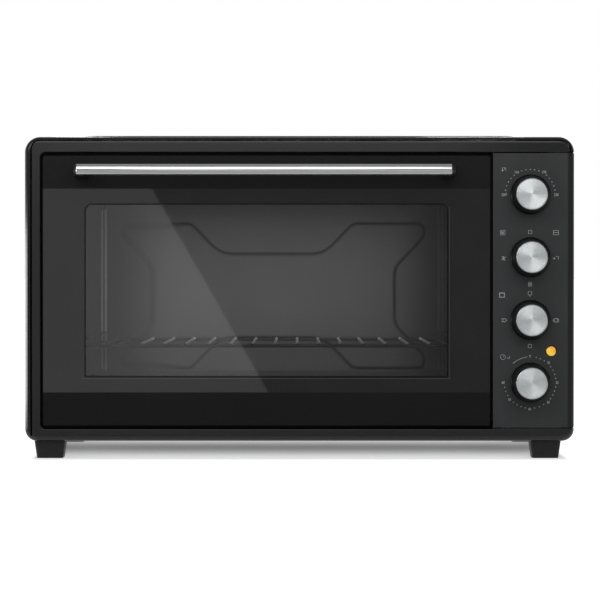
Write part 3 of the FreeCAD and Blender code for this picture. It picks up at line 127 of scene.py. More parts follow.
def add_piece(name, points, wrap, body, slot, replaced, crease, attributes=None):
    """A closed mesh from a grid of points, which closes round its columns where wrap is true. Doubled points
    are merged, open edges are filled, and faces turned outwards. Edges sharper than the crease angle, in
    degrees, stay sharp. Attributes are values for each point. The piece takes the place of one CAD node."""
    mesh = bpy.data.meshes.new(name)
    mesh.from_pydata(points.reshape(-1, 3).tolist(), [], grid_faces(*points.shape[:2], wrap))
    for label, values in (attributes or {}).items():
        kind, field = ("FLOAT", "value") if np.ndim(values) == 1 else ("FLOAT_VECTOR", "vector")
        layer = mesh.attributes.new(label, kind, "POINT")
        layer.data.foreach_set(field, np.asarray(values, np.float32).ravel())
    work = bmesh.new()
    work.from_mesh(mesh)
    bmesh.ops.remove_doubles(work, verts=work.verts, dist=MERGE_DISTANCE)
    bmesh.ops.holes_fill(work, edges=[edge for edge in work.edges if edge.is_boundary], sides=0)
    bmesh.ops.recalc_face_normals(work, faces=work.faces)
    work.to_mesh(mesh)
    work.free()
    mesh.shade_smooth()
    mesh.set_sharp_from_angle(angle=math.radians(crease))
    made = add_object(name, mesh)
    mesh.materials.append(finishes[slot])
    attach(made, body)
    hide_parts(replaced)


def turned_points(profile, angles, middle, axis):
    """A profile of (radius, place along the axis) carried round a line along X or Y, through the middle
    point."""
    radius = profile[:, 0][:, None]
    along = np.repeat(profile[:, 1][:, None], len(angles), 1)
    across = radius * np.cos(angles)[None, :]
    up = radius * np.sin(angles)[None, :] + middle[2]
    if axis == "y":
        return np.stack([across + middle[0], along, up], -1)
    return np.stack([along, across + middle[1], up], -1)


# Materials

class Signal:
    """One output in a node tree. Sums, products and comparisons of signals add Math nodes to the tree."""

    def __init__(self, tree, socket):
        self.tree = tree
        self.socket = socket

    def maths(self, operation, *others):
        inputs = dict(enumerate((self,) + others))
        return self.tree.node("ShaderNodeMath", {"operation": operation}, inputs)

    def flipped(self, operation, first):
        return self.tree.node("ShaderNodeMath", {"operation": operation}, {0: first, 1: self})

    def __add__(self, other):
        return self.maths("ADD", other)

    def __sub__(self, other):
        return self.maths("SUBTRACT", other)

    def __rsub__(self, other):
        return self.flipped("SUBTRACT", other)

    def __mul__(self, other):
        return self.maths("MULTIPLY", other)

    def __truediv__(self, other):
        return self.maths("DIVIDE", other)

    def __pow__(self, other):
        return self.maths("POWER", other)

    __radd__ = __add__

    def most(self, other):
        return self.maths("MAXIMUM", other)

    def least(self, other):
        return self.maths("MINIMUM", other)

    def size(self):
        return self.maths("ABSOLUTE")

    def wave(self):
        return self.maths("SINE")

    def between(self, low, high):
        """0 below low, 1 above high, smooth between them."""
        settings = {"interpolation_type": "SMOOTHSTEP"}
        return self.tree.node("ShaderNodeMapRange", settings, {0: self, 1: low, 2: high})


class Tree:
    """The nodes of one material or of the world."""

    def __init__(self, owner):
        owner.use_nodes = True
        self.nodes = owner.node_tree.nodes
        self.links = owner.node_tree.links
        self.nodes.clear()

    def node(self, kind, settings=None, inputs=None, output=0):
        """Adds a node: its settings first, then a value or link for each of the sockets named."""
        made = self.nodes.new(kind)
        for key, value in (settings or {}).items():
            if key == "stops":
                ramp = made.color_ramp.elements
                while len(ramp) < len(value):
                    ramp.new(1.0)
                for element, (position, colour) in zip(ramp, value):
                    element.position = position
                    element.color = (*colour, 1)
            else:
                setattr(made, key, value)
        for key, value in (inputs or {}).items():
            if isinstance(value, Signal):
                self.links.new(value.socket, made.inputs[key])
            elif key in ("Color", 6, 7):
                made.inputs[key].default_value = (*value, 1)
            else:
                made.inputs[key].default_value = value
        return Signal(self, made.outputs[output])

    def place(self, kind="Object"):
        return self.node("ShaderNodeTexCoord", output=kind)

    def axes(self, kind="Object"):
        """The x, y and z of the point, in metres, or of the direction where the kind is Generated."""
        split = self.node("ShaderNodeSeparateXYZ", None, {0: self.place(kind)})
        return [Signal(self, split.socket.node.outputs[index]) for index in range(3)]

    def is_ray(self, kind):
        """1 for rays of this kind and 0 for all others."""
        return self.node("ShaderNodeLightPath", output="Is " + kind + " Ray")

    def attribute(self, name, output):
        return self.node("ShaderNodeAttribute", {"attribute_name": name}, None, output)

    def noise(self, grain, detail=2.0, stretch=(1, 1, 1)):
        """Noise whose grains are about this many metres across, drawn out along each axis by stretch."""
        scale = [1 / (grain * factor) for factor in stretch]
        place = self.node("ShaderNodeMapping", None, {"Vector": self.place(), "Scale": scale})
        inputs = {"Vector": place, "Scale": 1.0, "Detail": detail}
        return self.node("ShaderNodeTexNoise", {"noise_dimensions": "3D"}, inputs)

    def cells(self, grain):
        """The distance from the middle of Voronoi cells about this many metres across."""
        place = self.node("ShaderNodeMapping", None, {"Vector": self.place(), "Scale": [1 / grain] * 3})
        return self.node("ShaderNodeTexVoronoi", None, {"Vector": place, "Scale": 1.0}, "Distance")

    def mix(self, share, first, second):
        """The first colour where share is 0 and the second where it is 1."""
        return self.node("ShaderNodeMix", {"data_type": "RGBA"}, {0: share, 6: first, 7: second}, 2)

    def bump(self, height, depth):
        return self.node("ShaderNodeBump", None, {"Height": height, "Distance": depth, "Strength": 1.0})

    def principled(self, inputs):
        return self.node("ShaderNodeBsdfPrincipled", None, inputs)

    def show(self, shader, kind="ShaderNodeOutputMaterial"):
        output = self.nodes.new(kind)
        self.links.new(shader.socket, output.inputs["Surface"])


finishes = {}


def new_finish(name):
    material = bpy.data.materials.new(name)
    finishes[name] = material
    return Tree(material)


def enamel(name, colour, roughness, ripple, speck, shine):
    """Stoved paint: slow colour drift, faint orange peel in the bump and small changes of gloss."""
    t = new_finish(name)
    drift = t.noise(0.09, 3.0)
    fine = t.noise(0.0016, 2.0)
    tone = drift * 0.6 + fine * 0.4
    dark = [c * (1 - speck) for c in colour]
    pale = [c * (1 + speck) for c in colour]
    normal = t.bump(t.noise(0.0022, 1.0), ripple)
    gloss = roughness + (fine - 0.5) * 0.08 + (drift - 0.5) * 0.05
    t.show(t.principled({"Base Color": t.mix(tone.between(0.3, 0.7), dark, pale), "Roughness": gloss,
                         "Specular IOR Level": shine, "Normal": normal}))


def powder_coat(name, colour, roughness):
    """A textured powder coat: closely set round grains, with random tone and painted shade that makes the
    hollows between them darker.
    """
    t = new_finish(name)
    grains = t.cells(0.0007)
    clumps = t.noise(0.0035, 2.0)
    height = (1 - grains) * 0.7 + clumps * 0.6
    # painted shade: the tone follows the bump's height, so the hollows between the grains are darker
    tone = (height * 0.5 + t.noise(0.12, 3.0) * 0.5).between(0.3, 0.85)
    colours = t.mix(tone, [c * 0.7 for c in colour], [c * 1.3 for c in colour])
    t.show(t.principled({"Base Color": colours, "Roughness": roughness + (clumps - 0.5) * 0.12,
                         "Specular IOR Level": 0.4, "Normal": t.bump(height, 0.00008)}))


def moulded(name, colour, roughness, grain, depth, shine=0.4, side=None):
    """Moulded plastic with a spark-eroded grain and slight flow marks. To the right of a place along x, where
    one is given, painted shade makes it darker."""
    t = new_finish(name)
    fine = t.noise(grain, 3.0)
    flow = t.noise(0.03, 2.0, (1, 1, 3))
    tone = (fine * 0.5 + flow * 0.5).between(0.3, 0.7)
    colours = t.mix(tone, [c * 0.82 for c in colour], [c * 1.18 for c in colour])
    if side:
        x, _, _ = t.axes()
        # painted shade: right of this place the colour drops to 0.28 of itself, for a side turned from the
        # light
        colours = t.mix(x.between(side, side + 0.0015), colours, [c * 0.28 for c in colour])
    t.show(t.principled({"Base Color": colours, "Roughness": roughness + (fine - 0.5) * 0.12,
                         "Specular IOR Level": shine, "Normal": t.bump(fine, depth)}))


def metal(name, colour, roughness, grain, stretch, depth, tint=None):
    """Bare metal, with marks drawn out along its working direction and a cloudy tint."""
    t = new_finish(name)
    lines = t.noise(grain, 2.0, stretch)
    cloud = t.noise(0.02, 3.0)
    dark = [c * 0.8 for c in colour]
    colours = t.mix(lines.between(0.3, 0.7), dark, colour)
    if tint:
        colours = t.mix(cloud.between(0.45, 0.75), colours, tint)
    t.show(t.principled({"Base Color": colours, "Metallic": 1.0,
                         "Roughness": roughness + (lines - 0.5) * 0.16 + (cloud - 0.5) * 0.08,
                         "Normal": t.bump(lines, depth)}))


def rack_wire():
    """Satin plated wire, with drawing marks along the cross wires. The loop round them, which lies within 4
    mm of the front and rear edges, and nearer the sides than the cross wires, is painted nearly black as
    shade."""
    t = new_finish("rack_chrome")
    x, y, _ = t.axes()
    low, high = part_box("wire_rack")
    front = (y - low[1]).between(0.004, 0.0045)
    rear = (high[1] - y).between(0.004, 0.0045)
    lines = t.noise(0.0009, 2.0, (1, 8, 1))
    cross = t.mix(lines.between(0.3, 0.7), (0.42, 0.42, 0.415), (0.56, 0.56, 0.555))
    sides = (x - low[0]).between(0.03, 0.044).least((high[0] - x).between(0.010, 0.011))
    # painted shade: the loop round the cross wires is nearly black
    colours = t.mix(front.least(rear).least(sides), (0.03, 0.029, 0.028), cross)
    t.show(t.principled({"Base Color": colours, "Metallic": 0.25, "Roughness": 0.36 + (lines - 0.5) * 0.12,
                         "Specular IOR Level": 0.3, "Normal": t.bump(lines, 0.00002)}))


def cavity_enamel():
    """Grey speckled oven enamel. Painted shade darkens it towards the side walls and the top, and most in the
    rear wall's groove; a painted highlight makes it paler on its folded edges."""
    t = new_finish("cavity_enamel")
    specks = t.cells(0.0022).between(0.1, 0.3)
    cloud = t.noise(0.05, 4.0)
    colours = t.mix(cloud.between(0.3, 0.7), (0.058, 0.058, 0.058), (0.063, 0.063, 0.063))
    colours = t.mix(specks * 0.15 + 0.85, (0.09, 0.09, 0.09), colours)
    x, _, z = t.axes()
    # painted shade: darker towards the side walls and the top
    beside = (x - FIELD_MIDDLE[0] - 0.012).size().between(0.115, 0.195)
    painted_edge_shade = (beside * 0.86).most(z.between(0.235, 0.28) * 0.6)
    colours = t.mix(painted_edge_shade, colours, (0.006, 0.006, 0.006))
    # painted shade: darkest in the groove
    colours = t.mix(t.attribute("groove", "Fac") * 0.85, colours, (0.006, 0.006, 0.006))
    # painted highlight: paler on the folded edges
    colours = t.mix(t.attribute("fold", "Fac") * 0.8, colours, (0.26, 0.26, 0.26))
    normal = t.bump(t.noise(0.0018, 1.0), 0.000003)
    t.show(t.principled({"Base Color": colours, "Roughness": 0.45 + (cloud - 0.5) * 0.06,
                         "Specular IOR Level": 0.15, "Normal": normal}))


def element_steel():
    """Heat-darkened sheath: straw and blue temper colours in rings along the rod."""
    t = new_finish("element_steel")
    x, _, _ = t.axes()
    rings = (x * 160 + t.noise(0.01, 2.0) * 4).wave() * 0.5 + 0.5
    temper = t.node("ShaderNodeValToRGB", {"stops": [(0.0, (0.09, 0.08, 0.075)), (0.5, (0.2, 0.15, 0.1)),
                                                     (0.8, (0.13, 0.12, 0.13)), (1.0, (0.1, 0.1, 0.13))]},
                    {"Fac": rings})
    fine = t.noise(0.0006, 2.0)
    t.show(t.principled({"Base Color": temper, "Metallic": 0.85, "Roughness": 0.42 + (fine - 0.5) * 0.2,
                         "Normal": t.bump(fine, 0.00003)}))


def motor_steel():
    """Stacked laminations: thin dark gaps across the stack, one each half millimetre, between grey faces."""
    t = new_finish("motor_steel")
    x, _, _ = t.axes()
    gaps = ((x * 2 * math.pi / 0.0005).wave() * 0.5 + 0.5).between(0.1, 0.5)
    cloud = t.noise(0.004, 3.0)
    colours = t.mix(gaps, (0.12, 0.12, 0.125), (0.34, 0.34, 0.35))
    colours = t.mix(cloud.between(0.5, 0.8) * 0.5, colours, (0.2, 0.18, 0.17))
    t.show(t.principled({"Base Color": colours, "Metallic": 0.9, "Roughness": 0.4 + (cloud - 0.5) * 0.2,
                         "Normal": t.bump(gaps, 0.00004)}))


def wire_insulation():
    """Silicone leads: red, blue and brown by where they run, with faint dusty marks."""
    t = new_finish("wire_insulation")
    x, _, _ = t.axes()
    colours = t.mix((x - 0.231).between(0, 0.001), (0.36, 0.03, 0.02), (0.02, 0.06, 0.3))
    colours = t.mix((x - 0.247).between(0, 0.001), colours, (0.12, 0.05, 0.02))
    fine = t.noise(0.0008, 2.0)
    colours = t.mix(fine.between(0.35, 0.75) * 0.3, colours, (0.5, 0.45, 0.4))
    t.show(t.principled({"Base Color": colours, "Roughness": 0.45 + (fine - 0.5) * 0.15,
                         "Normal": t.bump(fine, 0.00002)}))


def ceramic():
    """Unglazed steatite: warm white, with fine pores and brown firing specks."""
    t = new_finish("ceramic_white")
    pores = t.cells(0.0005).between(0.05, 0.3)
    specks = t.noise(0.0012, 2.0).between(0.66, 0.74)
    colours = t.mix(pores, (0.55, 0.52, 0.46), (0.82, 0.8, 0.74))
    colours = t.mix(specks * 0.6, colours, (0.35, 0.26, 0.18))
    t.show(t.principled({"Base Color": colours, "Roughness": 0.68 + pores * 0.08,
                         "Normal": t.bump(pores, 0.00003)}))


def spun_aluminium():
    """Spun aluminium: the normal leans along the radius by a different amount on every fine turning line, so
    that a light draws out into opposite sectors. The piece's attributes give the radius and its direction."""
    t = new_finish("spun_aluminium")
    radius = t.attribute("radius", "Fac")
    outward = t.node("ShaderNodeVectorTransform",
                     {"vector_type": "VECTOR", "convert_from": "OBJECT", "convert_to": "WORLD"},
                     {0: t.attribute("outward", "Vector")})
    lines = t.node("ShaderNodeTexNoise", {"noise_dimensions": "1D"}, {"W": radius * 9000, "Detail": 2.0})
    broad = t.node("ShaderNodeTexNoise", {"noise_dimensions": "1D"}, {"W": radius * 900, "Detail": 1.0})
    lean = (lines - 0.5) * 1.5 + (broad - 0.5) * 0.1
    offset = t.node("ShaderNodeVectorMath", {"operation": "SCALE"}, {0: outward, "Scale": lean})
    normal = t.node("ShaderNodeNewGeometry", output="Normal")
    leaning = t.node("ShaderNodeVectorMath", {"operation": "ADD"}, {0: normal, 1: offset})
    leaning = t.node("ShaderNodeVectorMath", {"operation": "NORMALIZE"}, {0: leaning})
    colours = t.mix(lines.between(0.35, 0.65), (0.8, 0.84, 0.855), (0.915, 0.955, 0.97))
    # painted shade: the chamfer's colour is dark grey, for a darker ring round the cap
    colours = t.mix(radius.between(CAP_RADIUS - 0.0009, CAP_RADIUS - 0.0005), colours, (0.42, 0.42, 0.43))
    t.show(t.principled({"Base Color": colours, "Metallic": 1.0, "Roughness": 0.22 + (broad - 0.5) * 0.06,
                         "Normal": leaning}))


def amber_lens():
    """Translucent amber with bright and deep facets, glowing from the lamp behind it, with painted shade that
    deepens it towards its upper right and makes it dark at its rim.
    """
    t = new_finish("lens_amber")
    x, _, z = t.axes()
    lamp = centre("pilot_lamp_lens")
    facets = t.node("ShaderNodeTexVoronoi", {"feature": "SMOOTH_F1"},
                    {"Vector": t.place(), "Scale": 420.0, "Smoothness": 0.3}, "Color")
    facet = t.node("ShaderNodeSeparateColor", None, {0: facets})
    # painted shade: deeper amber towards the upper right
    upper = ((z - lamp[2]) / 0.0109 + (x - lamp[0]) / 0.016 + 0.5).between(0.1, 0.95)
    deep = (upper * 0.75 + (facet - 0.5) * 0.6).between(0.05, 0.9)
    colours = t.mix(deep, (1.0, 0.67, 0.06), (0.95, 0.35, 0.01))
    # painted shade: a dark ring at the rim
    rim = (((x - lamp[0]) ** 2 + (z - lamp[2]) ** 2) ** 0.5).between(0.0045, 0.0049)
    colours = t.mix(rim, colours, (0.012, 0.006, 0.002))
    t.show(t.principled({"Base Color": colours, "Roughness": 0.12 + facet * 0.05,
                         "Coat Weight": 0.6 - rim * 0.5, "Emission Color": colours, "Emission Strength": 0.46,
                         "Normal": t.bump(facet, 0.0004)}))


# The window in the door glass: its edges, and how much its upper corners are cut.
WINDOW = {"left": -0.2156, "right": 0.1494, "bottom": 0.0811, "top": 0.2558, "cut": 0.0055}


def door_glass():
    """Tempered glass: clear and lightly tinted in the window, and a glossy print round it, with painted shade
    as a dark band at the window's edge and a painted highlight as a pale line on its right and low sides. The
    window is where the greatest of four distances, to its sides and its cut upper corners, is below zero."""
    t = new_finish("glass_clear")
    x, _, z = t.axes()
    half_width = (WINDOW["right"] - WINDOW["left"]) / 2
    half_height = (WINDOW["top"] - WINDOW["bottom"]) / 2
    beside = (x - (WINDOW["right"] + WINDOW["left"]) / 2).size() - half_width
    over = z - WINDOW["top"]
    beyond = ((z - (WINDOW["top"] + WINDOW["bottom"]) / 2).size() - half_height).most(beside)
    outside = beyond.most(over + beside + WINDOW["cut"])
    clear = 1 - outside.between(-0.0016, -0.0012)
    mirrored = 1 - outside.between(-0.002, -0.0017)
    # painted shade: a dark, less glossy band just inside the window's edge
    edge = outside.between(-0.0016, -0.0014) * (1 - outside.between(-0.0002, 0.0002))
    # painted highlight: a pale line along the window's right and low sides
    right_highlight_line = 1 - ((x - WINDOW["right"] - 0.0004).size()).between(0.0002, 0.0005)
    low_highlight_line = 1 - ((z - WINDOW["bottom"] + 0.0010).size()).between(0.0002, 0.0005)
    line = (right_highlight_line + low_highlight_line).least(1.0) * (1 - (outside - 0.0016).between(0, 0.0002))
    smudge = t.noise(0.05, 3.0)
    print_tone = t.mix(smudge.between(0.3, 0.7), (0.017, 0.017, 0.0172), (0.021, 0.021, 0.0212))
    colours = t.mix(line * 0.9, print_tone, (0.08, 0.08, 0.074))
    colours = t.mix(edge, colours, (0.013, 0.013, 0.013))
    colours = t.mix(mirrored, colours, (0.93, 0.93, 0.93))
    gloss = t.principled({"Base Color": colours, "Metallic": mirrored, "Roughness": 0.015 + smudge * 0.012})
    rim = t.principled({"Base Color": colours, "Roughness": 0.03 + smudge * 0.01,
                        "Specular IOR Level": 0.28})
    gloss = t.node("ShaderNodeMixShader", None, {0: edge, 1: gloss, 2: rim})
    through = t.node("ShaderNodeBsdfTransparent", None, {"Color": (0.87, 0.87, 0.87)})
    mirror = t.node("ShaderNodeFresnel", None, {"IOR": 1.5})
    t.show(t.node("ShaderNodeMixShader", None, {0: clear * (1 - mirror), 1: gloss, 2: through}))


def dial_ink():
    """Screen-printed pale grey ink with slightly uneven cover."""
    t = new_finish("dial_ink")
    cover = t.noise(0.0004, 2.0)
    colours = t.mix(cover.between(0.3, 0.7), (0.6, 0.605, 0.61), (0.72, 0.725, 0.73))
    t.show(t.principled({"Base Color": colours, "Roughness": 0.55 + (cover - 0.5) * 0.1,
                         "Normal": t.bump(cover, 0.00001)}))


# Each shared kind of finish takes a name, a colour and a roughness, then what its function lists.
enamel("enamel_black", (0.0155, 0.0155, 0.016), 0.16, 0.000012, 0.08, 0.4)
powder_coat("casing_black", (0.02, 0.02, 0.021), 0.4)
enamel("door_black", (0.0064, 0.0064, 0.0066), 0.4, 0.00002, 0.12, 0.15)
door_glass()
# the panel is painted darker right of x 0.2675, as shade on its rounded right side
moulded("panel_plastic", (0.0355, 0.037, 0.0388), 0.5, 0.0005, 0.00003, 0.3, 0.2675)
moulded("knob_plastic", (0.0026, 0.0036, 0.0041), 0.3, 0.0007, 0.00001, 0.25)
spun_aluminium()
metal("steel_handle", (0.79, 0.8, 0.8), 0.13, 0.00025, (80, 1, 1), 0.000002)
moulded("post_plastic", (0.012, 0.012, 0.012), 0.4, 0.0006, 0.00002)
cavity_enamel()
metal("zinc_steel", (0.6, 0.61, 0.62), 0.38, 0.006, (1, 1, 1), 0.00002, (0.5, 0.5, 0.47))
rack_wire()
element_steel()
ceramic()
moulded("foot_plastic", (0.0075, 0.0075, 0.0075), 0.5, 0.0008, 0.00004, 0.3)
moulded("control_plastic", (0.66, 0.61, 0.5), 0.5, 0.0009, 0.00003)
amber_lens()
metal("fan_aluminium", (0.68, 0.68, 0.69), 0.34, 0.0005, (1, 12, 1), 0.00001)
motor_steel()
wire_insulation()
# painted shade: a darker, duller copy of the black enamel for the hinge brackets, which sit in the shaded
# door gap
enamel("hinge_shaded_black", (0.003, 0.003, 0.003), 0.7, 0.00001, 0.2, 0.05)
moulded("gland_plastic", (0.02, 0.02, 0.02), 0.42, 0.0008, 0.00003)
dial_ink()

for part in frame["record"]["subparts"]:
    slots = frame["nodes"][part["node"]].data.materials
    slots.clear()
    slots.append(finishes["hinge_shaded_black" if part["node"] == "hinge_brackets" else part["material_slot"]])


# Rear wall of the cooking space: a pressed field with a groove round it, and folded corners

CAVITY = {"left": -0.220, "right": 0.1595, "low": 0.049, "high": 0.276}
FIELD_DEPTH = 0.003
GROOVE_DEPTH = 0.0004
RIDGE_HEIGHT = 0.0012

# One quarter of the field's corners, as (x, z) from its middle, and the radius at each
FIELD_QUARTER = [(0.1356, 0.0312), (0.1683, 0.0658), (0.1683, 0.0803), (0.0899, 0.0803), (0.0571, 0.0465)]
FIELD_RADII = [0.020, 0.012, 0.007, 0.012, 0.032]


def field_outline():
    """The pressed field: a rectangle with a sloping notch in the middle of every side, one quarter mirrored
    about both middle lines."""
    upper = FIELD_QUARTER + [(-x, z) for x, z in reversed(FIELD_QUARTER)]
    corners = upper + [(x, -z) for x, z in reversed(upper)]
    radii = FIELD_RADII + FIELD_RADII[::-1]
    outline = rounded(corners, radii + radii[::-1], closed=True, steps=8)
    return outline + np.array(FIELD_MIDDLE)


def depth_inside(x, z, outline):
    """The distance from each point to the nearest segment of a closed outline, positive inside it. Inside is
    where a ray crosses the outline an odd number of times."""
    start = outline[None]
    run = np.roll(outline, -1, 0)[None] - start
    place = np.stack([x, z], -1)[:, None]
    share = np.clip(((place - start) * run).sum(-1) / (run ** 2).sum(-1), 0, 1)
    distance = np.linalg.norm(place - start - share[..., None] * run, axis=-1).min(1)
    spans = (start[..., 1] > place[..., 1]) != (start[..., 1] + run[..., 1] > place[..., 1])
    rise = np.where(run[..., 1] == 0, 1, run[..., 1])
    crossing = start[..., 0] + (place[..., 1] - start[..., 1]) / rise * run[..., 0]
    inside = (spans & (place[..., 0] < crossing)).sum(1) % 2
    return np.where(inside == 1, distance, -distance)


def make_back_wall():
    """Height above the plain wall: a smooth 3 mm step at the field's outline, gentler at its left end, less a
    narrow groove at its foot, which fades out there, plus two thin ridges along each upright edge, lower on
    the right. The groove and the middle height of the ridges are kept as attributes for the finish, which
    paints shade in the groove and a highlight on the ridges."""
    low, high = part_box("cavity_back_wall")
    plane, rear = low[1] + FIELD_DEPTH, high[1]
    across = np.linspace(CAVITY["left"], CAVITY["right"], 290)
    up = np.linspace(CAVITY["low"], CAVITY["high"], 174)
    x, z = [values.ravel() for values in np.meshgrid(across, up)]
    inside = depth_inside(x, z, field_outline())
    edge = np.minimum(x - CAVITY["left"], CAVITY["right"] - x)
    ridges = np.exp(-((edge - 0.0052) / 0.0009) ** 2) + np.exp(-((edge - 0.0009) / 0.0008) ** 2)
    ridges *= 1 - 0.7 * (x > 0)
    crisp = smooth(x, -0.16, -0.12)
    groove = np.exp(-((inside + 0.0007) / 0.0009) ** 2) * (0.25 * smooth(x, -0.18, -0.17) + 0.75 * crisp)
    step = smooth(inside, -0.0008, 0.0082 - 0.006 * crisp)
    height = FIELD_DEPTH * step - GROOVE_DEPTH * groove + RIDGE_HEIGHT * ridges
    # painted highlight along the ridges, half as strong on the right
    fold = ridges * (z > 0.078) * (z < 0.256) * (1 - 0.5 * (x > 0))
    points = np.stack([x, plane - height, z], -1).reshape(len(up), len(across), 3)
    padded = np.pad(points, ((1, 1), (1, 1), (0, 0)), mode="edge")
    padded[[0, -1], :, 1] = rear
    padded[:, [0, -1], 1] = rear
    attributes = {name: np.pad(values.reshape(len(up), len(across)), 1, mode="edge").ravel()
                  for name, values in (("groove", groove), ("fold", fold))}
    add_piece("pressed_back_wall", padded, False, "oven_body", "cavity_enamel", "cavity_back_wall", 50,
              attributes)


# Knobs and their caps

DIALS = ("temperature", "function", "heat", "timer")
KNOB_RADIUS = 0.020
BORE_RADIUS = 0.00303
POINTER_DEPTH = 0.0008


def make_knob(name):
    """A bevelled knob turned from a rounded profile, hollow behind, with a pointer groove cut along its side:
    the radius dips by up to 0.8 mm within half a millimetre of the pointer's angle. The profile runs from the
    seat of the cap over the bevel and the skirt, then through the hollow to the bore of the shaft."""
    x, _, z = centre(name + "_knob_cap")
    front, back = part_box(name + "_knob")[0][1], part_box(name + "_knob")[1][1]
    shaft_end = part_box(name + "_shaft")[0][1]
    pointer = math.pi if name == "temperature" else math.pi / 2
    corners = [(0, front + 0.001), (0.0159, front + 0.001), (0.0159, front), (0.0171, front),
               (0.0187, back - 0.0062), (KNOB_RADIUS, back - 0.0046), (KNOB_RADIUS, back),
               (0.018, back), (0.018, back - 0.004), (0.0148, front + 0.0045), (0.006, front + 0.0045),
               (0.006, back - 0.001), (BORE_RADIUS, back - 0.001), (BORE_RADIUS, shaft_end - 0.0001),
               (0, shaft_end - 0.0001)]
    radii = [0, 0, 0.0003, 0.0006, 0.0008, 0.0008, 0.0003, 0, 0, 0.001, 0.0005, 0.0003, 0, 0, 0]
    profile = rounded(corners, radii, steps=4)
    even = np.linspace(0, 2 * math.pi, 256, endpoint=False)
    angles = pointer + even - 0.75 * np.sin(even)
    points = turned_points(profile, angles, (x, 0, z), "y")
    away = (angles - pointer + math.pi) % (2 * math.pi) - math.pi
    radius = profile[:, 0][:, None]
    side = smooth(radius, 0.0166, 0.0172) * (profile[:, 1][:, None] < back - 0.0048)
    outer = np.arange(len(profile))[:, None] < np.argmax(profile[:, 0] >= KNOB_RADIUS - 1e-6)
    dip = POINTER_DEPTH * side * outer * (1 - smooth(np.abs(away) * radius, 0.0003, 0.0006))
    scale = (1 - dip / np.maximum(radius, 1e-6))[..., None]
    hub = np.stack([np.full_like(dip, x), points[..., 1], np.full_like(dip, z)], -1)
    points = hub + (points - hub) * scale
    add_piece(name + "_turned_knob", points, True, name + "_dial", "knob_plastic", name + "_knob", 30)


def make_cap(name):
    """A spun disc: a very shallow dish with a fine centre point and a polished chamfer round it. Each point's
    radius, and on the dish its direction from the middle, are kept as attributes for the finish."""
    x, _, z = centre(name + "_knob_cap")
    seat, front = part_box(name + "_knob_cap")[1][1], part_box(name + "_knob_cap")[0][1]
    flat = CAP_RADIUS - 0.0008
    run = np.linspace(0, 1, 24)
    dish = np.stack([flat * run, front + 0.00012 * (1 - run ** 2)], -1)
    dish[0, 1] -= 0.00005
    corners = [(flat, front), (CAP_RADIUS, front + 0.0005), (CAP_RADIUS, seat), (0, seat)]
    rim = rounded(corners, [0, 0.0002, 0.0001, 0], steps=3)
    profile = np.concatenate([dish[:-1], rim])
    angles = np.linspace(0, 2 * math.pi, 144, endpoint=False)
    points = turned_points(profile, angles, (x, 0, z), "y")
    turning = np.zeros(len(profile))
    turning[:len(dish) - 1] = 1
    outward = np.stack([np.cos(angles), np.zeros_like(angles), np.sin(angles)], -1)
    outward = turning[:, None, None] * outward[None]
    radius = np.repeat(profile[:, 0][:, None], len(angles), 1)
    attributes = {"radius": radius.ravel(), "outward": outward.reshape(-1, 3)}
    add_piece(name + "_spun_cap", points, True, name + "_dial", "spun_aluminium", name + "_knob_cap", 25,
              attributes)


# Printed marks on the control panel. The ink's rise is in metres, all other lengths are in millimetres.

INK_RISE = 0.00005
INK_WIDTH = 0.42
FIGURE_SQUEEZE = 0.8
FIGURE_SHARE = 0.7
DOT_SIDES = 10

# The rings of dots and labels round the two numbered dials, and where the timer's labels stand, in degrees
TEMPERATURE_DOTS, TEMPERATURE_LABELS = 25.1, 26.0
TIMER_DOTS, TIMER_LABELS, TIMER_ARC = 25.9, 26.9, 25.6
TIMER_ANGLES = (42.8, 90.4, 137.8, 181.0, 229.9, 269.6)
TIMER_START = 4.0
TIMER_DOT_STEP = 9.7


